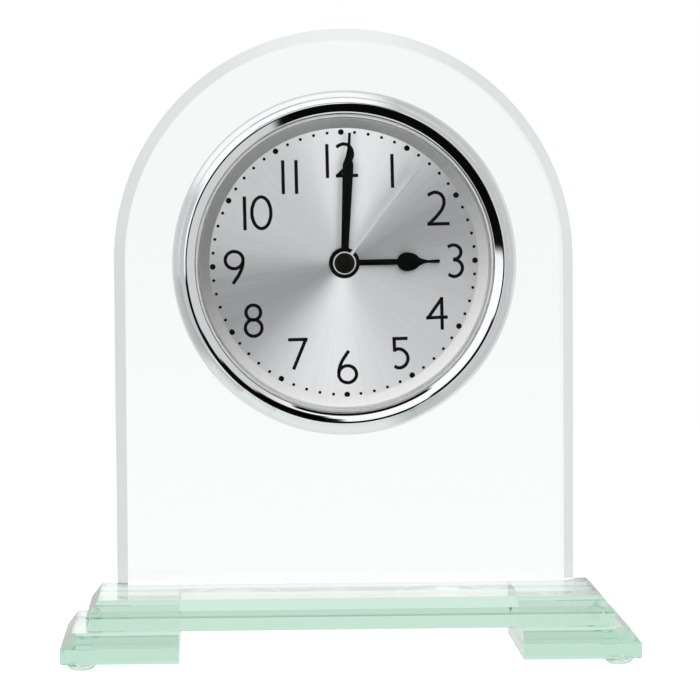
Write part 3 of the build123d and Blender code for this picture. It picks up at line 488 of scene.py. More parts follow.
class Wiring:
    """A node tree being wired up."""

    def __init__(self, tree):
        self.tree = tree
        self.count = 0

    def add(self, kind, **settings):
        """Add a shader node and set its properties."""
        node = self.tree.nodes.new("ShaderNode" + kind)
        node.location = (180 * (self.count % 12), -260 * (self.count // 12))
        self.count += 1
        for name, value in settings.items():
            setattr(node, name, value)
        return node

    def feed(self, socket, value):
        """Join a socket to another one, or set it to a constant."""
        if isinstance(value, bpy.types.NodeSocket):
            self.tree.links.new(value, socket)
        else:
            socket.default_value = value

    def feed_all(self, sockets, values):
        """Feed a row of sockets."""
        for socket, value in zip(sockets, values):
            self.feed(socket, value)

    def fill(self, node, **values):
        """Feed a node's sockets by name; underscores in the names stand for spaces."""
        for name, value in values.items():
            self.feed(node.inputs[name.replace("_", " ")], value)
        return node

    def calc(self, operation, *values):
        """Result of a Math node."""
        node = self.add("Math", operation=operation)
        self.feed_all(node.inputs, values)
        return node.outputs[0]

    def vector(self, operation, *values):
        """Result of a Vector Math node."""
        node = self.add("VectorMath", operation=operation)
        self.feed_all(node.inputs, values)
        return node.outputs["Value" if operation == "DOT_PRODUCT" else "Vector"]

    def toned(self, tint, amount):
        """A colour made lighter or darker."""
        node = self.add("VectorMath", operation="SCALE")
        self.feed(node.inputs[0], tint)
        self.feed(node.inputs["Scale"], amount)
        return node.outputs["Vector"]

    def parts(self, value):
        """The X, Y and Z of a vector."""
        node = self.add("SeparateXYZ")
        self.feed(node.inputs[0], value)
        return node.outputs["X"], node.outputs["Y"], node.outputs["Z"]

    def spot(self):
        """Where each point lies on its piece."""
        return self.add("TexCoord").outputs["Object"]

    def on_face(self, way):
        """A direction laid flat on the clock's face, of unit length."""
        return self.vector("NORMALIZE", self.vector("MULTIPLY", way, (1.0, 0.0, 1.0)))

    def span(self, value, low, high, to_low, to_high):
        """Smooth step from one level to another."""
        node = self.add("MapRange", interpolation_type="SMOOTHSTEP")
        self.fill(
            node, Value=value, From_Min=low, From_Max=high, To_Min=to_low, To_Max=to_high
        )
        return node.outputs["Result"]

    def between(self, amount, first, second):
        """Level between two others."""
        node = self.add("Mix", data_type="FLOAT")
        self.feed_all((node.inputs[0], node.inputs[2], node.inputs[3]), (amount, first, second))
        return node.outputs[0]

    def blend(self, amount, first, second):
        """Colour between two others."""
        node = self.add("Mix", data_type="RGBA")
        self.feed(node.inputs["Factor"], amount)
        colours = [socket for socket in node.inputs if socket.type == "RGBA"]
        self.feed_all(colours, (first, second))
        return [socket for socket in node.outputs if socket.type == "RGBA"][0]

    def noise(self, where, scale, detail, roughness):
        """Noise value at a place."""
        node = self.add("TexNoise")
        self.fill(node, Vector=where, Scale=scale, Detail=detail, Roughness=roughness)
        return node.outputs["Fac"]

    def group(self, tree, **values):
        """Outputs of a shared effect, placed with its own values."""
        return self.fill(self.add("Group", node_tree=tree), **values).outputs

    def bump(self, height, distance):
        """Surface normal from a height."""
        node = self.fill(self.add("Bump"), Strength=1.0, Distance=distance, Height=height)
        return node.outputs["Normal"]

    def principled(self, **values):
        """The main shader."""
        return self.fill(self.add("BsdfPrincipled"), **values).outputs["BSDF"]

    def close(self, **shaders):
        """Join the finished shaders to the material's output."""
        self.fill(self.add("OutputMaterial"), **shaders)


def new_finish(name):
    """A new, empty material and its wiring."""
    material = bpy.data.materials.new(name)
    material.use_nodes = True
    material.node_tree.nodes.clear()
    return material, Wiring(material.node_tree)


def shared_effect(name, inputs, outputs, wire):
    """A node group that several finishes use, wired up the first time that one asks for it."""
    if name in bpy.data.node_groups:
        return bpy.data.node_groups[name]
    tree = bpy.data.node_groups.new(name, "ShaderNodeTree")
    for title, kind, default in inputs:
        socket = tree.interface.new_socket(title, in_out="INPUT", socket_type="NodeSocket" + kind)
        if default is not None:
            socket.default_value = default
    for title, kind in outputs:
        tree.interface.new_socket(title, in_out="OUTPUT", socket_type="NodeSocket" + kind)
    given, result = tree.nodes.new("NodeGroupInput"), tree.nodes.new("NodeGroupOutput")
    wire(Wiring(tree), given.outputs, result.inputs)
    return tree


def rub_marks():
    """Effect: faint smears and hairline rubs that vary the roughness of a polished surface."""

    def wire(w, given, result):
        smear = w.noise(given["Vector"], given["Smear"], 3.0, 0.6)
        stretched = w.vector("MULTIPLY", given["Vector"], (1.0, 1.0, 9.0))
        hair = w.noise(stretched, 900.0, 2.0, 0.7)
        both = w.calc("ADD", w.calc("MULTIPLY", smear, 0.7), w.calc("MULTIPLY", hair, 0.3))
        mask = w.span(both, 0.38, 0.66, 0.0, 1.0)
        w.feed(result["Mask"], mask)
        w.feed(result["Roughness"], w.span(mask, 0.0, 1.0, given["Smoothest"], given["Roughest"]))

    return shared_effect(
        "Rub marks",
        [("Vector", "Vector", None), ("Smoothest", "Float", 0.0), ("Roughest", "Float", 0.1),
         ("Smear", "Float", 60.0)],
        [("Roughness", "Float"), ("Mask", "Float")],
        wire,
    )


def moulded_grain():
    """Effect: fine grain of a moulded part, with slow tone drift and rubbed patches."""

    def wire(w, given, result):
        grain = w.noise(given["Vector"], given["Grain"], 2.0, 0.6)
        drift = w.noise(given["Vector"], 70.0, 3.0, 0.5)
        fine, slow = w.span(grain, 0.3, 0.7, 0.86, 1.1), w.span(drift, 0.3, 0.7, -0.08, 0.08)
        w.feed(result["Colour"], w.toned(given["Colour"], w.calc("ADD", fine, slow)))
        rubbed = w.span(drift, 0.35, 0.65, 0.88, 1.12)
        w.feed(result["Roughness"], w.calc("MULTIPLY", given["Matt"], rubbed))
        w.feed(result["Height"], grain)

    return shared_effect(
        "Moulded grain",
        [("Vector", "Vector", None), ("Colour", "Color", (0.5, 0.5, 0.5, 1.0)),
         ("Grain", "Float", 2500.0), ("Matt", "Float", 0.5)],
        [("Colour", "Color"), ("Roughness", "Float"), ("Height", "Float")],
        wire,
    )


def sunray_streaks():
    """Effect: streaks of tone and roughness that fan out from a middle."""

    def wire(w, given, result):
        broad = w.noise(given["Direction"], 45.0, 1.0, 0.5)
        fine = w.noise(given["Direction"], 270.0, 2.0, 0.6)
        streak = w.calc("MULTIPLY", w.calc("ADD", broad, fine), 0.5)
        w.feed(result["Colour"], w.toned(given["Colour"], w.span(streak, 0.3, 0.7, 0.95, 1.05)))
        rough = w.span(streak, 0.3, 0.7, given["Smoothest"], given["Roughest"])
        w.feed(result["Roughness"], rough)

    return shared_effect(
        "Sunray streaks",
        [("Direction", "Vector", None), ("Colour", "Color", (0.8, 0.8, 0.8, 1.0)),
         ("Smoothest", "Float", 0.3), ("Roughest", "Float", 0.4)],
        [("Colour", "Color"), ("Roughness", "Float")],
        wire,
    )


def painted_bevel_light_mask(w, spot, width):
    """Mask of the painted green tint: one on the ground bevel round the arch of the panel, nothing
    on its face.
    """
    x, _, z = w.parts(spot)
    rise = w.calc("MAXIMUM", w.calc("SUBTRACT", z, PANEL_HIGH.z - PANEL_HIGH.x), 0.0)
    squares = [w.calc("MULTIPLY", side, side) for side in (x, rise)]
    reach = w.calc("SQRT", w.calc("ADD", *squares))
    edge, soft = PANEL_HIGH.x - width, 0.1 * MM
    return w.span(reach, edge - soft, edge + soft, 0.0, 1.0)


def clear_for(w, rays, tint, glass):
    """Glass that lets some kinds of ray straight through, with no more than a tint."""
    clear = w.add("BsdfTransparent")
    clear.inputs["Color"].default_value = tint
    mix = w.add("MixShader")
    w.feed_all(mix.inputs, (rays, glass, clear.outputs[0]))
    return mix.outputs[0]


def plate_glass(name, tint, density, shadow, bevel=None):
    """Polished plate glass, tinted through its depth, and by (width, tint) painted greener at its
    bevel, a painted tint for light bent through it.
    """
    material, w = new_finish(name)
    spot = w.spot()
    marks = w.group(rub_marks(), Vector=spot, Smoothest=0.0, Roughest=0.012, Smear=45.0)
    face = WHITE
    if bevel:
        width, painted_edge_tint = bevel
        # Painted green tint on the bevel, standing in for light bent through it.
        face = w.blend(painted_bevel_light_mask(w, spot, width), face, painted_edge_tint)
    glass = w.principled(
        Base_Color=face, Metallic=0.0, IOR=1.52, Transmission_Weight=1.0,
        Roughness=marks["Roughness"],
    )
    paths = w.add("LightPath").outputs
    indirect = w.calc("MAXIMUM", paths["Is Shadow Ray"], paths["Is Diffuse Ray"])
    depth = w.add("VolumeAbsorption")
    depth.inputs["Color"].default_value = tint
    depth.inputs["Density"].default_value = density
    w.close(Surface=clear_for(w, indirect, shadow, glass), Volume=depth.outputs[0])
    return material


def crystal_glass():
    """Flat mineral crystal: light that has met the dial passes straight out through it."""
    material, w = new_finish("crystal mineral glass")
    marks = w.group(rub_marks(), Vector=w.spot(), Smoothest=0.0, Roughest=0.008, Smear=30.0)
    glass = w.principled(
        Base_Color=WHITE, Metallic=0.0, IOR=1.5, Transmission_Weight=1.0,
        Roughness=marks["Roughness"],
    )
    paths = w.add("LightPath").outputs
    mirrored = w.calc(
        "MULTIPLY", paths["Is Glossy Ray"], w.calc("SUBTRACT", 1.0, paths["Is Transmission Ray"])
    )
    indirect = w.calc("MAXIMUM", paths["Is Shadow Ray"], paths["Is Diffuse Ray"])
    passing = w.calc("MAXIMUM", mirrored, indirect)
    w.close(Surface=clear_for(w, passing, (0.95, 0.95, 0.95, 1.0), glass))
    return material


def darker(tint, share):
    """A colour with a share of its light."""
    return [part * share for part in tint[:3]] + [1.0]


def bezel_chrome(tint):
    """Bright chrome plate with a few faint smears."""
    material, w = new_finish("bezel chrome")
    marks = w.group(rub_marks(), Vector=w.spot(), Smoothest=0.02, Roughest=0.07, Smear=90.0)
    w.close(Surface=w.principled(Base_Color=tint, Metallic=1.0, Roughness=marks["Roughness"]))
    return material


def sunburst(name, tint):
    """Silver metal brushed outwards from the dial's middle, so that light gathers in fans."""
    material, w = new_finish(name)
    ray = w.on_face(w.vector("SUBTRACT", w.spot(), tuple(FACE)))
    brushed = w.group(sunray_streaks(), Direction=ray, Colour=tint, Smoothest=0.31, Roughest=0.39)
    w.close(Surface=w.principled(
        Base_Color=brushed["Colour"], Roughness=brushed["Roughness"], Metallic=1.0,
        Anisotropic=0.95, Tangent=w.vector("CROSS_PRODUCT", ray, tuple(FORWARD)),
    ))
    return material


def satin_metal(name, tint, smooth, rough):
    """Satin or plated metal with rubbed patches."""
    material, w = new_finish(name)
    marks = w.group(rub_marks(), Vector=w.spot(), Smoothest=smooth, Roughest=rough, Smear=140.0)
    tone = w.blend(marks["Mask"], tint, darker(tint, 0.86))
    w.close(Surface=w.principled(Base_Color=tone, Metallic=1.0, Roughness=marks["Roughness"]))
    return material


def silver_paint(name, tint, metallic, matt):
    """Silver paint: fine flakes in a satin coat."""
    material, w = new_finish(name)
    skin = w.group(moulded_grain(), Vector=w.spot(), Colour=tint, Grain=9000.0, Matt=matt)
    w.close(Surface=w.principled(
        Base_Color=skin["Colour"], Roughness=skin["Roughness"], Metallic=metallic,
        Normal=w.bump(skin["Height"], 0.000002),
    ))
    return material


def moulded_plastic(name, tint, matt, grain, depth=0.00003, gloss=0.4):
    """Moulded plastic with a fine grain."""
    material, w = new_finish(name)
    skin = w.group(moulded_grain(), Vector=w.spot(), Colour=tint, Grain=grain, Matt=matt)
    w.close(Surface=w.principled(
        Base_Color=skin["Colour"], Roughness=skin["Roughness"], Specular_IOR_Level=gloss,
        Normal=w.bump(skin["Height"], depth),
    ))
    return material


def lacquer(name, tint, matt, grain, gloss):
    """Thin lacquer or printing ink, almost without grain."""
    return moulded_plastic(name, tint, matt, grain, depth=0.000001, gloss=gloss)


def wound_copper(tint):
    """Enamelled wire wound side by side along the coil, with painted shade darkening the grooves
    between the turns.
    """
    material, w = new_finish("coil winding")
    turns = w.add("TexWave", bands_direction="Z", wave_profile="SIN")
    w.fill(turns, Vector=w.spot(), Scale=900.0, Distortion=0.4, Detail=1.0)
    ridge = turns.outputs["Fac"]
    # Painted shade: the colour darkens in the grooves between the turns.
    w.close(Surface=w.principled(
        Base_Color=w.blend(ridge, darker(tint, 0.45), tint), Metallic=0.85, Roughness=0.3,
        Normal=w.bump(ridge, 0.00008),
    ))
    return material


# Pieces


class CLOCK_OT_arch_panel(bpy.types.Operator):
    """Model the arched glass panel with its ground bevel and the hole for the insert"""

    bl_idname = "clock.arch_panel"
    bl_label = "Arch panel"

    def execute(self, context):
        sizes, colours = context.scene.clock_sizes, context.scene.clock_colours
        radius = PANEL_HIGH.x
        centre = Vector((0.0, PANEL_HIGH.y, PANEL_HIGH.z - radius))
        thickness = PANEL_HIGH.y - PANEL_LOW.y
        start()
        bpy.ops.mesh.primitive_circle_add(
            vertices=ARCH_SIDES, radius=radius, location=centre, rotation=(math.pi / 2, 0.0, 0.0)
        )
        panel = added("arch_panel_glass")
        shape("VERT")
        pick("verts", lambda spot: spot.z < centre.z - HAIR)
        bpy.ops.mesh.delete(type="VERT")
        pick("verts", lambda spot: spot.z < centre.z + HAIR)
        bpy.ops.mesh.extrude_vertices_move(
            TRANSFORM_OT_translate={"value": UP * (PANEL_LOW.z - SPARE - centre.z)}
        )
        bpy.ops.mesh.edge_face_add()
        bpy.ops.mesh.select_all(action="SELECT")
        bpy.ops.mesh.edge_face_add()
        bpy.ops.mesh.select_mode(type="FACE")
        bpy.ops.mesh.select_all(action="SELECT")
        pull(FORWARD * (thickness - sizes.bevel_depth))
        face_outwards()
        pick("faces", lambda spot: spot.y < PANEL_LOW.y + sizes.bevel_depth + HAIR)
        bpy.ops.mesh.inset(thickness=sizes.bevel_width, depth=sizes.bevel_depth)
        bpy.ops.mesh.select_all(action="SELECT")
        foot = PANEL_LOW.z - sizes.glue_film
        bpy.ops.mesh.bisect(
            plane_co=(0.0, 0.0, foot), plane_no=UP, use_fill=True, clear_inner=True
        )
        grind_arris(
            sizes.arris, lambda spot: spot.y > PANEL_HIGH.y - HAIR and spot.z > foot + HAIR
        )
        bpy.ops.object.mode_set(mode="OBJECT")
        self.cut_hole(panel, sizes, thickness)
        # The bevel gets a painted green tint that stands in for light bent through it.
        finish = plate_glass(
            "panel clear glass", colours.panel_tint, density=10.0, shadow=(0.97, 0.98, 0.975, 1.0),
            bevel=(sizes.bevel_width, colours.bevel_painted_tint),
        )
        settle(panel, "case", ["arch_panel"], finish)
        return {"FINISHED"}

    def cut_hole(self, panel, sizes, thickness):
        """Bore the hole with a cutter that also grinds an arris at both ends."""
        wide = sizes.hole_radius + sizes.arris + MM
        cutter = turned(
            "hole_cutter",
            [(wide, MM), (sizes.hole_radius, -sizes.arris),
             (sizes.hole_radius, sizes.arris - thickness), (wide, -thickness - MM)],
            FACE, FORWARD, HOLE_SIDES, closed=False,
        )
        take(cutter)
        shape()
        face_outwards()
        take(panel)
        bore = panel.modifiers.new("Bore", "BOOLEAN")
        bore.operation, bore.solver, bore.object = "DIFFERENCE", "EXACT", cutter
        bpy.ops.object.modifier_apply(modifier=bore.name)
        take(cutter)
        bpy.ops.object.delete()


class CLOCK_OT_glass_base(bpy.types.Operator):
    """Model the bevelled plinth and the two glass feet under it"""

    bl_idname = "clock.glass_base"
    bl_label = "Glass base"

    def execute(self, context):
        sizes, colours = context.scene.clock_sizes, context.scene.clock_colours
        finish = plate_glass(
            "base green glass", colours.base_tint, density=12.0, shadow=(0.94, 0.97, 0.955, 1.0)
        )
        film = UP * sizes.glue_film
        plinth = self.slab("plinth_glass", PLINTH_LOW - film, PLINTH_HIGH, sizes)
        settle(plinth, "case", ["plinth"], finish)
        for name, low, high, side in (
            ("left_foot", LEFT_FOOT_LOW, LEFT_FOOT_HIGH, -1.0),
            ("right_foot", RIGHT_FOOT_LOW, RIGHT_FOOT_HIGH, 1.0),
        ):
            longer = Vector((SPARE, 0.0, 0.0))
            ends = (low, high + longer) if side < 0 else (low - longer, high)
            foot = self.slab(name + "_glass", ends[0], ends[1], sizes)
            take(foot)
            shape()
            inner = high.x if side < 0 else low.x
            bpy.ops.mesh.bisect(
                plane_co=(inner, 0.0, 0.0), plane_no=(side, 0.0, 0.0), use_fill=True,
                clear_inner=True,
            )
            bpy.ops.object.mode_set(mode="OBJECT")
            settle(foot, "case", [name], finish)
        return {"FINISHED"}

    def slab(self, name, low, high, sizes):
        """A slab with a ground bevel round its top and an arris round its bottom."""
        size = high - low
        start()
        upright = size.z - sizes.bevel_depth
        bpy.ops.mesh.primitive_cube_add(
            size=1.0, scale=(size.x, size.y, upright),
            location=((low.x + high.x) / 2, (low.y + high.y) / 2, low.z + upright / 2),
        )
        slab = added(name)
        shape()
        face_outwards()
        pick("faces", lambda spot: spot.z > low.z + upright - HAIR)
        bpy.ops.mesh.inset(thickness=sizes.bevel_width, depth=sizes.bevel_depth)
        grind_arris(sizes.arris, lambda spot: spot.z < low.z + HAIR)
        bpy.ops.object.mode_set(mode="OBJECT")
        return slab


class CLOCK_OT_bumpers(bpy.types.Operator):
    """Model one clear domed bumper and copy it to the four corners"""

    bl_idname = "clock.bumpers"
    bl_label = "Bumpers"

    def execute(self, context):
        sizes, colours = context.scene.clock_sizes, context.scene.clock_colours
        side = bowed(
            (sizes.bumper_radius, BUMPER_HIGH.z + sizes.glue_film),
            (sizes.bumper_flat, BUMPER_LOW.z), -sizes.bumper_bow, BUMPER_STEPS,
        )
        reach = BUMPER_HIGH - Vector((sizes.bumper_radius, sizes.bumper_radius, 0.0))
        dome = turned(
            "bumper_dome", side, Vector((0.0, 0.0, 0.0)), UP, BUMPER_SIDES, closed=False
        )
        corners = [
            (across * reach.x, along * reach.y, 0.0) for across in (-1, 1) for along in (-1, 1)
        ]
        domes = scattered("bumper_domes", [(dome, corner) for corner in corners])
        finish = plate_glass(
            "bumper clear vinyl", colours.bumper_tint, density=20.0, shadow=(0.94, 0.97, 0.955, 1.0)
        )
        settle(domes, "case", ["bumpers"], finish, smooth=40.0)
        return {"FINISHED"}


class CLOCK_OT_bezel(bpy.types.Operator):
    """Turn the chrome bezel: upright edge, outer slope, rounded ridge, inner slope and skirt"""

    bl_idname = "clock.bezel"
    bl_label = "Bezel"

    def execute(self, context):
        sizes, colours = context.scene.clock_sizes, context.scene.clock_colours
        edge = BEZEL_HIGH.x
        outer, ridge = (edge, sizes.bezel_edge), (sizes.ridge_radius, sizes.ridge_height)
        lip = (sizes.lip_radius, sizes.lip_height)
        climb = bowed(outer, ridge, sizes.outer_bow, OUTER_SLOPE_STEPS)
        fall = bowed(ridge, lip, sizes.inner_bow, INNER_SLOPE_STEPS)
        climb = [spot for spot in climb if math.dist(spot, ridge) > sizes.ridge_round]
        fall = [
            spot for spot in fall
            if math.dist(spot, ridge) > sizes.ridge_round and math.dist(spot, lip) > sizes.lip_nose
        ]
        seat = sizes.lip_height - sizes.lip_thickness
        clear = sizes.glue_film
        crest = softly(climb[-1], ridge, fall[0], ROUNDING_STEPS)
        nose = softly(fall[-1], lip, (sizes.lip_radius, seat), ROUNDING_STEPS)
        profile = [(edge, clear)] + climb + crest + fall + nose + [
            (sizes.lip_radius, seat), (sizes.seat_radius, seat),
            (sizes.seat_radius, -sizes.skirt_depth), (sizes.skirt_radius, -sizes.skirt_depth),
            (sizes.skirt_radius, clear), (edge, clear),
        ]
        ring = turned("bezel_ring", profile, FACE, FORWARD, BEZEL_SIDES, closed=True)
        settle(ring, "case", ["bezel"], bezel_chrome(colours.chrome), smooth=40.0)
        return {"FINISHED"}


class CLOCK_OT_dial_ring(bpy.types.Operator):
    """Turn the brushed ring round the dial: a cone that turns up at the crystal"""

    bl_idname = "clock.dial_ring"
    bl_label = "Dial ring"

    def execute(self, context):
        sizes, colours = context.scene.clock_sizes, context.scene.clock_colours
        front, foot = FACE.y - RING_LOW.y, FACE.y - RING_HIGH.y
        step = front - sizes.ring_flange
        rim, toe = (sizes.cove_front, front), (sizes.cove_foot, foot + sizes.cove_toe)
        bend = (sizes.cove_bend, foot + sizes.cove_lift)
        straight = tuple(end + sizes.cove_cone * (turn - end) for end, turn in zip(toe, bend))
        cove = [rim] + softly(rim, bend, straight, COVE_STEPS) + [straight, toe]
        profile = cove + [
            (sizes.cove_foot, foot), (DIAL_HIGH.x, foot), (DIAL_HIGH.x, step), (RING_HIGH.x, step),
            (RING_HIGH.x, front), cove[0],
        ]
        ring = turned("dial_cove", profile, FACE, FORWARD, RING_SIDES, closed=True)
        finish = sunburst("dial ring sunburst", colours.ring_silver)
        settle(ring, "case", ["dial_ring"], finish, smooth=40.0)
        return {"FINISHED"}


class CLOCK_OT_numerals(bpy.types.Operator):
    """Draw the numerals as strokes of ink on the dial"""

    bl_idname = "clock.numerals"
    bl_label = "Numerals"

    def execute(self, context):
        sizes, colours = context.scene.clock_sizes, context.scene.clock_colours
        start()
        lines = bpy.data.curves.new("numeral_strokes", "CURVE")
        lines.dimensions = "3D"
        lines.bevel_depth, lines.bevel_resolution = sizes.stroke / 2, 1
        lines.use_fill_caps = True
        for sign, across, up, width, height in NUMERALS:
            for kind, points in STROKES[sign]:
                self.ink_stroke(lines, kind, points, (across, up), (width, height), sizes)
        print_piece = bpy.data.objects.new("dial_numerals", lines)
        context.collection.objects.link(print_piece)
        take(print_piece)
        bpy.ops.object.convert(target="MESH")
        numerals = added("dial_numerals")
        shape("VERT")
        bpy.ops.transform.resize(
            value=(1.0, 1.0, 2 * sizes.print_film / sizes.stroke), center_override=(0.0, 0.0, 0.0)
        )
        bpy.ops.object.mode_set(mode="OBJECT")
        numerals.rotation_euler = (math.pi / 2, 0.0, 0.0)
        numerals.location = (FACE.x, DIAL_LOW.y, FACE.z)
        finish = lacquer("dial ink", colours.ink, matt=0.35, grain=6000.0, gloss=0.08)
        settle(numerals, "case", [], finish)
        return {"FINISHED"}

    def ink_stroke(self, lines, kind, points, spot, box, sizes):
        """Add one stroke of a numeral at its place, leaning with the print."""
        closed = kind == "bowl"
        if closed:
            (mid_x, mid_y), (half_x, half_y) = points
            turns = [2 * math.pi * knot / BOWL_KNOTS for knot in range(BOWL_KNOTS)]
            points = [
                (mid_x + half_x * math.sin(turn), mid_y + half_y * math.cos(turn)) for turn in turns
            ]
        inner = [part * MM - sizes.stroke for part in box]
        lean = Matrix.Rotation(sizes.print_turn, 2)
        knots = [Vector(((x - 0.5) * inner[0], (y - 0.5) * inner[1])) for x, y in points]
        if kind == "bar":
            square = (knots[1] - knots[0]).normalized() * sizes.stroke / 2
            knots = [knots[0] - square, knots[1] + square]
        line = lines.splines.new("BEZIER")
        line.bezier_points.add(len(knots) - 1)
        for point, knot in zip(line.bezier_points, knots):
            place = Vector(spot) * MM + lean @ knot
            point.co = (place.x, place.y, 0.0)
            point.handle_left_type = point.handle_right_type = (
                "VECTOR" if kind in {"bar", "slant"} else "AUTO"
            )
        line.use_cyclic_u = closed
        line.resolution_u = BOWL_STEPS if closed else STROKE_STEPS


class CLOCK_OT_minute_dots(bpy.types.Operator):
    """Print one dot of each size and copy it round the dial"""

    bl_idname = "clock.minute_dots"
    bl_label = "Minute dots"

    def execute(self, context):
        sizes, colours = context.scene.clock_sizes, context.scene.clock_colours
        large = self.dot("hour_dot", sizes.hour_dot / 2, HOUR_DOT_SIDES, sizes)
        small = self.dot("minute_dot", sizes.minute_dot / 2, MINUTE_DOT_SIDES, sizes)
        placed = []
        for minute in range(60):
            angle = 2 * math.pi * minute / 60 - sizes.print_turn
            spot = (
                sizes.dot_ring * math.sin(angle), DIAL_LOW.y,
                FACE.z - sizes.print_drop + sizes.dot_ring * math.cos(angle),
            )
            placed.append((small if minute % 5 else large, spot))
        dots = scattered("dial_dots", placed)
        finish = lacquer("dot ink", colours.ink, matt=0.35, grain=6000.0, gloss=0.08)
        settle(dots, "case", [], finish)
        return {"FINISHED"}

    def dot(self, name, radius, sides, sizes):
        """A flat disc of ink with a slightly domed face."""
        start()
        bpy.ops.mesh.primitive_circle_add(
            vertices=sides, radius=radius, fill_type="NGON", rotation=(math.pi / 2, 0.0, 0.0)
        )
        dot = added(name)
        shape()
        pull(FORWARD * sizes.print_film)
        rim, dome = radius * 0.2, sizes.print_film / 3
        bpy.ops.mesh.inset(thickness=rim, depth=dome)
        bpy.ops.object.mode_set(mode="OBJECT")
        return dot


class CLOCK_OT_hands(bpy.types.Operator):
    """Reshape the hands a little, soften their edges and lacquer them"""

    bl_idname = "clock.hands"
    bl_label = "Hands"

    def execute(self, context):
        sizes, colours = context.scene.clock_sizes, context.scene.clock_colours
        black = lacquer("hand lacquer", colours.hand_black, matt=0.25, grain=4000.0, gloss=0.05)
        silver = silver_paint("second hand silver", colours.second_silver, metallic=0.35, matt=0.4)
        cap = lacquer("cap lacquer", colours.cap_black, matt=0.3, grain=4000.0, gloss=0.12)
        for node, body, slot, finish in (
            ("hour_hand", "hours", "black_hand", black),
            ("minute_hand", "minutes", "black_hand", black),
            ("second_hand", "seconds", "second_hand", silver),
            ("second_hand_cap", "seconds", "hand_cap", cap),
        ):
            hand = self.softened(node, sizes)
            settle(hand, body, [node], finish)
        return {"FINISHED"}

    def softened(self, node, sizes):
        """A merged copy of a CAD node, reshaped where it needs it, with rounded edges."""
        reshape = {
            "hour_hand": self.draw_out, "minute_hand": self.broaden, "second_hand": self.flare
        }
        hand = bpy.data.objects.new(node + "_soft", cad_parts[node].data.copy())
        bpy.context.collection.objects.link(hand)
        take(hand)
        shape()
        bpy.ops.mesh.remove_doubles(threshold=HAIR)
        bpy.ops.mesh.dissolve_limited(angle_limit=FLAT)
        if node in reshape:
            reshape[node](sizes)
        bpy.ops.object.mode_set(mode="OBJECT")
        round_off = hand.modifiers.new("Edges", "BEVEL")
        round_off.width, round_off.segments = sizes.hand_edge, 2
        round_off.limit_method, round_off.angle_limit = "ANGLE", CREASE
        bpy.ops.object.modifier_apply(modifier=round_off.name)
        if node == "minute_hand":
            turn = Matrix.Rotation(sizes.minute_turn, 4, "Y")
            hand.matrix_world = Matrix.Translation(FACE) @ turn @ Matrix.Translation(-FACE)
            bpy.ops.object.transform_apply(location=True, rotation=True, scale=True)
        return hand

    def draw_out(self, sizes):
        """Draw the pear of the hour hand out towards its tip, with a longer, wider needle."""
        pear, neck = sizes.pear_place, sizes.pear_neck
        along = Vector(clockwise(math.degrees(sizes.hour_angle)))
        slack = 0.05 * MM
        pick("verts", lambda spot: spot.x > neck - slack)
        bpy.ops.transform.resize(
            value=(1.0, 1.0, sizes.pear_needle), center_override=tuple(FACE + neck * along)
        )
        pick("verts", lambda spot: pear < spot.x < neck + MM)
        bpy.ops.transform.resize(
            value=(sizes.pear_draw, 1.0, 1.0), center_override=tuple(FACE + pear * along)
        )
        pick("verts", lambda spot: spot.x > pear + sizes.pear_draw * (neck - pear) + MM)
        bpy.ops.transform.translate(value=(sizes.pear_tip, 0.0, 0.0))

    def flare(self, sizes):
        """Widen the second hand towards its tip."""
        along = Vector(clockwise(math.degrees(sizes.second_angle)))
        across = Vector((along.z, 0.0, -along.x))
        for side in (across, -across):

            def outer(spot):
                reach = spot - FACE
                return reach.dot(along) > sizes.second_root and reach.dot(side) > 0.0

            pick("verts", outer)
            bpy.ops.transform.translate(value=side * sizes.second_spread)

    def broaden(self, sizes):
        """Widen the open minute hand at its shoulder, and shorten its taper and its needle."""
        stem, neck = FACE.z + sizes.blade_start, FACE.z + sizes.blade_neck
        pick("verts", lambda spot: spot.z > stem)
        bpy.ops.transform.resize(value=(sizes.blade_spread, 1.0, 1.0), center_override=tuple(FACE))
        pick("verts", lambda spot: stem < spot.z < neck)
        bpy.ops.transform.resize(
            value=(1.0, 1.0, sizes.blade_taper), center_override=(0.0, FACE.y, neck)
        )
        pick("verts", lambda spot: spot.z > neck + MM)
        bpy.ops.transform.translate(value=(0.0, 0.0, -sizes.needle_trim))


class CLOCK_OT_face_finish(bpy.types.Operator):
    """Finish the crystal and the brushed dial"""

    bl_idname = "clock.face_finish"
    bl_label = "Crystal and dial finish"

    def execute(self, context):
        colours = context.scene.clock_colours
        dress(crystal_glass(), "crystal")
        dress(sunburst("dial sunburst", colours.dial_silver), "dial")
        return {"FINISHED"}


# Moulded works: the finish, the setting of its colour, how matt, how fine a grain, and the nodes.
MOULDED_WORKS = (
    ("case plastic", "case_black", 0.42, 2200.0, ("insert_case",)),
    ("sleeve rubber", "sleeve_grey", 0.72, 3000.0, ("grip_sleeve",)),
    ("movement plastic", "movement_black", 0.5, 1800.0, ("movement_case", "movement_cover")),
    ("hatch plastic", "hatch_black", 0.36, 2600.0, ("battery_hatch",)),
    ("knob plastic", "knob_white", 0.38, 2600.0, ("setting_knob",)),
    ("wheel acetal", "acetal", 0.34, 3000.0,
     ("hour_wheel", "centre_wheel", "seconds_wheel", "third_wheel", "drive_wheel", "motion_wheel",
      "setting_pinion")),
    ("rotor ferrite", "ferrite", 0.45, 3500.0, ("rotor",)),
    ("bobbin nylon", "nylon", 0.4, 2600.0, ("coil_bobbin",)),
    ("board laminate", "laminate", 0.35, 1400.0, ("circuit_board",)),
    ("chip resin", "resin", 0.6, 3200.0, ("timing_chip",)),
)
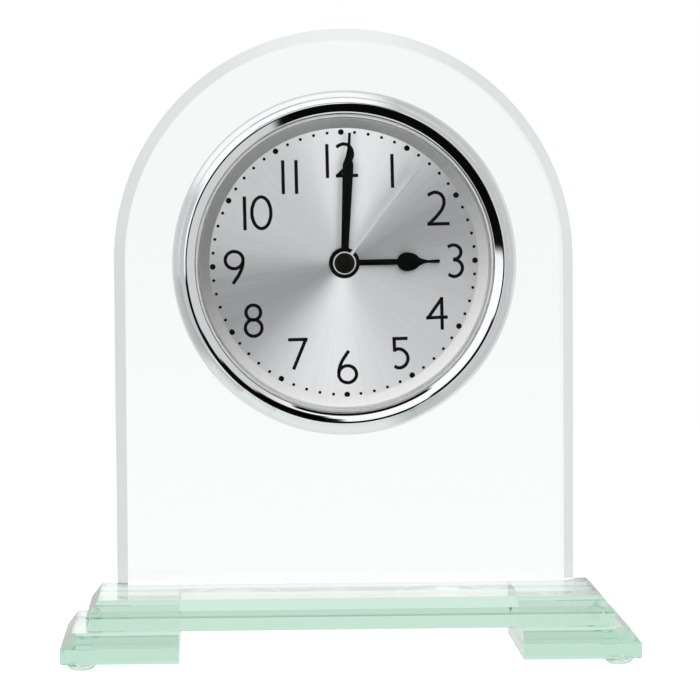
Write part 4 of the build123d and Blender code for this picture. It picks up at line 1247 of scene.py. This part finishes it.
# Metal works: the finish, the setting of its colour, its smoothest and its roughest, and the nodes.
METAL_WORKS = (
    ("screw zinc", "zinc", 0.25, 0.42, ("case_screws",)),
    ("motor iron", "iron", 0.34, 0.5, ("stator", "coil_core")),
    ("crystal can nickel", "nickel", 0.2, 0.36, ("timing_crystal",)),
    ("cell nickel", "nickel", 0.22, 0.4, ("button_cell",)),
    ("contact nickel", "nickel", 0.28, 0.44, ("cell_contact_plus", "cell_contact_minus")),
)


class CLOCK_OT_works_finish(bpy.types.Operator):
    """Finish the case, the movement and the works inside it"""

    bl_idname = "clock.works_finish"
    bl_label = "Case and works finish"

    def execute(self, context):
        colours = context.scene.clock_colours
        for name, hue, matt, grain, nodes in MOULDED_WORKS:
            dress(moulded_plastic(name, getattr(colours, hue), matt, grain), *nodes)
        for name, hue, smooth, rough, nodes in METAL_WORKS:
            dress(satin_metal(name, getattr(colours, hue), smooth, rough), *nodes)
        dress(wound_copper(colours.copper), "coil_winding")
        return {"FINISHED"}


# Studio. Angles are in degrees: round the face they count clockwise from twelve o'clock, and from
# the line of sight they count outwards.

DARK = 0.004
# Sectors round the face: the middle, then the half width where one begins and where it is full.
WHITE_WALL = (325, 75, 50)
WHITE_CEILING = (337, 46, 32)
PALE_TABLE = (197, 42, 30)
RING_LIGHT = (338, 95, 45)
SIDE_LAMPS = (95, 28, 8)
LAMP_GAP = (157, 31, 12)
LIP_SHADE = (355, 31, 25)
# Dark flags that the bezel mirrors: the sector, and how far from the line of sight it reaches.
FLAGS = (
    ((208, 59, 52), 81), ((24, 18, 11), 62), ((30, 29, 23), 54), ((40, 32, 25), 46),
    ((309, 22, 18), 45),
)
# Angles from the line of sight, each with the half width of its soft edge.
FLAG_EDGE = 3
CAMERA_SHADE = (34, 2)
IN_FRONT = (90, 4)
LIP_SHELF = ((86, 2), (69, 2))
DIAL_VIEW = (42, 5)
# Cones about a direction: the angles where one begins and where it is full.
STRAIGHT = (34, 16)
SEEN_BEHIND = (56, 46)
LENS_WAY, LENS_CONE, LENS_LEVEL = (0.038, -0.999, -0.032), (9.5, 5.5), 0.01
RING_TOP_CONE, RING_TOP_LEVEL = (88, 60), 0.9
RING_FOOT_CONE, RING_FOOT_LEVEL = (84, 50), 0.42
# Heights of bent light between which it falls off, and how much lighter it is below them.
LIGHTER_BELOW = ((-0.54, -0.43, 1.15), (-0.13, 0.0, 1.05))

FLOOR_RADIUS, FLOOR_GAP = 0.75, 0.05 * MM
FLOOR_WHITE, FLOOR_GLOW = (0.82, 0.82, 0.82, 1.0), 0.5
# Lamps: the name, the place, the width, the setting of its power and whether glass shows it.
LAMPS = (
    ("key lamp", (-0.83, -0.71, 0.30), 0.6, "key_power", False),
    ("fill lamp", (0.83, -0.71, 0.22), 0.6, "fill_power", True),
    ("top lamp", (-0.10, -0.15, 1.10), 0.9, "top_power", False),
    ("back lamp", (0.35, 0.95, 0.55), 0.6, "back_power", False),
)
LAMP_AIM = Vector((0.0, 0.0, 0.09))
BOUNCES = {
    "max_bounces": 32, "glossy_bounces": 16, "transmission_bounces": 32,
    "transparent_max_bounces": 24,
}


def studio_world(studio):
    """White studio: what the glass lets through and what the metal mirrors differ by direction."""
    world = bpy.data.worlds.new("white studio")
    world.use_nodes = True
    world.node_tree.nodes.clear()
    w = Wiring(world.node_tree)
    way = w.add("TexCoord").outputs["Generated"]
    paths = w.add("LightPath").outputs
    inside = w.calc("GREATER_THAN", paths["Transmission Depth"], 0.5)
    strength = studio.ambient
    for ray, seen in (
        ("Is Glossy Ray", mirrored_studio(w, way, inside, studio)),
        ("Is Transmission Ray", refracted_studio(w, way, studio)),
        ("Is Camera Ray", 1.0),
    ):
        strength = w.between(paths[ray], strength, seen)
    background = w.fill(w.add("Background"), Color=WHITE, Strength=strength)
    w.fill(w.add("OutputWorld"), Surface=background.outputs[0])
    world.cycles.sampling_method = "NONE"
    return world


def cone(w, along, edges, outside=0.0, inside=1.0):
    """One level inside a cone and another outside it, by the cosine from its middle."""
    begins, full = edges
    return w.span(along, cosine(begins), cosine(full), outside, inside)


def sector(w, aside, bounds, both_ways=False):
    """One inside a sector round the face, or inside it and its opposite, and nothing elsewhere."""
    centre, begins, full = bounds
    along = w.vector("DOT_PRODUCT", aside, clockwise(centre))
    if both_ways:
        along = w.calc("ABSOLUTE", along)
    return cone(w, along, (begins, full))


def beside_and_behind(w, aside, studio):
    """Level of the studio beside and behind the clock: grey walls, white at the upper left."""
    table = w.between(sector(w, aside, PALE_TABLE), studio.walls, studio.table)
    return w.between(sector(w, aside, WHITE_CEILING), table, studio.overhead)


def refracted_studio(w, way, studio):
    """Level seen through the glass: white straight behind, greyer where a bevel bends it aside."""
    _, y, z = w.parts(way)
    depth = w.calc("ABSOLUTE", y)
    straight = cone(w, depth, STRAIGHT, studio.beside, studio.behind)
    for low, high, gain in LIGHTER_BELOW:
        straight = w.calc("MULTIPLY", straight, w.span(z, low, high, gain, 1.0))
    rest = beside_and_behind(w, w.on_face(way), studio)
    return w.between(cone(w, depth, SEEN_BEHIND), rest, straight)


def mirrored_studio(w, way, inside, studio):
    """Level mirrored in metal: by the bezel, and behind the crystal by the dial and its ring."""
    ahead = w.vector("DOT_PRODUCT", way, tuple(FORWARD))
    aside = w.on_face(way)

    def within(angle, edge):
        return cone(w, ahead, (angle + edge, angle - edge))

    def shaded(light, mask, rest):
        return w.calc("MULTIPLY", light, w.span(mask, 0.0, 1.0, 1.0, rest))

    # The bezel: grey at the right, white above and at the left, dark round the camera, at the flags
    # and on a shelf over its lip.
    bezel = w.between(sector(w, aside, WHITE_WALL), studio.screen, studio.overhead)
    for bounds, reach in FLAGS:
        flag = w.calc("MULTIPLY", sector(w, aside, bounds), within(reach, FLAG_EDGE))
        bezel = shaded(bezel, flag, DARK)
    bezel = w.between(within(*CAMERA_SHADE), bezel, DARK)
    bezel = w.between(within(*IN_FRONT), beside_and_behind(w, aside, studio), bezel)
    shelf = w.calc("SUBTRACT", *[within(*edge) for edge in LIP_SHELF])
    bezel = shaded(bezel, w.calc("MULTIPLY", sector(w, aside, LIP_SHADE), shelf), DARK)
    # The dial: a soft light all round, stronger from both sides, with a gap across it and a dark
    # spot at the lens.
    lamps = sector(w, aside, SIDE_LAMPS, both_ways=True)
    dial = w.span(lamps, 0.0, 1.0, studio.front, studio.front * (1.0 + studio.fan))
    dial = shaded(dial, sector(w, aside, LAMP_GAP, both_ways=True), 1.0 - studio.gap)
    lens = w.vector("DOT_PRODUCT", way, LENS_WAY)
    dial = w.calc("MULTIPLY", dial, cone(w, lens, LENS_CONE, 1.0, LENS_LEVEL))
    # The ring looks further round, to the white above and the grey below.
    above = cone(w, ahead, RING_TOP_CONE, studio.ceiling, RING_TOP_LEVEL)
    below = cone(w, ahead, RING_FOOT_CONE, studio.shade, RING_FOOT_LEVEL)
    ring = w.between(sector(w, aside, RING_LIGHT), below, above)
    return w.between(inside, bezel, w.between(within(*DIAL_VIEW), ring, dial))


def studio_floor_finish():
    """White floor: matt, with enough glow of its own to read white round the soft shadow."""
    material, w = new_finish("studio floor")
    seen = w.add("LightPath").outputs["Is Camera Ray"]
    glow = w.fill(w.add("Emission"), Strength=w.calc("MULTIPLY", seen, FLOOR_GLOW))
    matt = w.fill(w.add("BsdfDiffuse"), Color=FLOOR_WHITE)
    both = w.add("AddShader")
    w.feed_all(both.inputs, (matt.outputs[0], glow.outputs[0]))
    w.close(Surface=both.outputs[0])
    return material


class CLOCK_OT_stage(bpy.types.Operator):
    """Set the floor, the lamps, the white studio and the camera"""

    bl_idname = "clock.stage"
    bl_label = "Studio"

    def execute(self, context):
        studio = context.scene.clock_studio
        context.scene.view_settings.view_transform = "Standard"
        context.scene.world = studio_world(studio)
        for kind, most in BOUNCES.items():
            setattr(context.scene.cycles, kind, most)
        self.floor()
        for name, spot, size, power, through_glass in LAMPS:
            lamp = self.lamp(name, Vector(spot), size, getattr(studio, power))
            lamp.visible_glossy, lamp.visible_transmission = False, through_glass
        self.camera(context, studio)
        return {"FINISHED"}

    def floor(self):
        """A round white floor just under the bumpers."""
        start()
        bpy.ops.mesh.primitive_circle_add(
            vertices=FLOOR_SIDES, radius=FLOOR_RADIUS, fill_type="NGON",
            location=(0.0, 0.0, -FLOOR_GAP),
        )
        floor = added("studio_floor")
        floor.data.materials.append(studio_floor_finish())
        floor.visible_glossy = floor.visible_transmission = False

    def lamp(self, name, spot, size, power):
        """A square soft lamp that looks at the middle of the clock."""
        light = bpy.data.lights.new(name, "AREA")
        light.shape, light.size, light.energy = "SQUARE", size, power
        lamp = bpy.data.objects.new(name, light)
        lamp.location = spot
        lamp.rotation_euler = (LAMP_AIM - spot).to_track_quat("-Z", "Y").to_euler()
        bpy.context.collection.objects.link(lamp)
        return lamp

    def camera(self, context, studio):
        """The camera at the photograph's place and angle."""
        yaw, pitch, roll = studio.yaw, studio.pitch, studio.roll
        ahead = Vector((
            math.sin(yaw) * math.cos(pitch), math.cos(yaw) * math.cos(pitch), -math.sin(pitch)
        ))
        right = Vector((math.cos(yaw), -math.sin(yaw), 0.0))
        above = right.cross(ahead)
        leaning = right * math.cos(roll) + above * math.sin(roll)
        upright = above * math.cos(roll) - right * math.sin(roll)
        lens = bpy.data.cameras.new("camera")
        lens.sensor_fit, lens.sensor_width, lens.lens = "HORIZONTAL", 36.0, studio.lens
        lens.clip_start = 0.01
        camera = bpy.data.objects.new("camera", lens)
        turn = Matrix((leaning, upright, -ahead)).transposed()
        camera.matrix_world = Matrix.Translation(Vector(studio.spot)) @ turn.to_4x4()
        context.collection.objects.link(camera)
        context.scene.camera = camera


OPERATORS = (
    CLOCK_OT_arch_panel,
    CLOCK_OT_glass_base,
    CLOCK_OT_bumpers,
    CLOCK_OT_bezel,
    CLOCK_OT_dial_ring,
    CLOCK_OT_numerals,
    CLOCK_OT_minute_dots,
    CLOCK_OT_hands,
    CLOCK_OT_face_finish,
    CLOCK_OT_works_finish,
    CLOCK_OT_stage,
)


GROUPS = {
    "clock_sizes": ClockSizes, "clock_colours": ClockColours, "clock_studio": ClockStudio,
}


class CLOCK_PT_sidebar(bpy.types.Panel):
    """Sidebar panel with a button for every piece, the sizes, the colours and the studio"""

    bl_idname = "CLOCK_PT_sidebar"
    bl_label = "Glass Arch Clock"
    bl_space_type = "VIEW_3D"
    bl_region_type = "UI"
    bl_category = "Clock"

    def draw(self, context):
        for operator in OPERATORS:
            self.layout.operator(operator.bl_idname)
        for title in GROUPS:
            group = getattr(context.scene, title)
            column = self.layout.column(align=True)
            for name in group.bl_rna.properties.keys():
                if name not in {"rna_type", "name"}:
                    column.prop(group, name)


def register():
    """Register the classes and hang the settings on the scene."""
    for part in (*GROUPS.values(), *OPERATORS, CLOCK_PT_sidebar):
        bpy.utils.register_class(part)
    for title, group in GROUPS.items():
        setattr(bpy.types.Scene, title, bpy.props.PointerProperty(type=group))


def unregister():
    """Take the settings and the classes away again."""
    for title in GROUPS:
        delattr(bpy.types.Scene, title)
    for part in (CLOCK_PT_sidebar, *reversed(OPERATORS), *GROUPS.values()):
        bpy.utils.unregister_class(part)


def main():
    """Build every piece and the studio."""
    register()
    bpy.ops.clock.arch_panel()
    bpy.ops.clock.glass_base()
    bpy.ops.clock.bumpers()
    bpy.ops.clock.bezel()
    bpy.ops.clock.dial_ring()
    bpy.ops.clock.numerals()
    bpy.ops.clock.minute_dots()
    bpy.ops.clock.hands()
    bpy.ops.clock.face_finish()
    bpy.ops.clock.works_finish()
    bpy.ops.clock.stage()


if __name__ == "__main__":
    main()
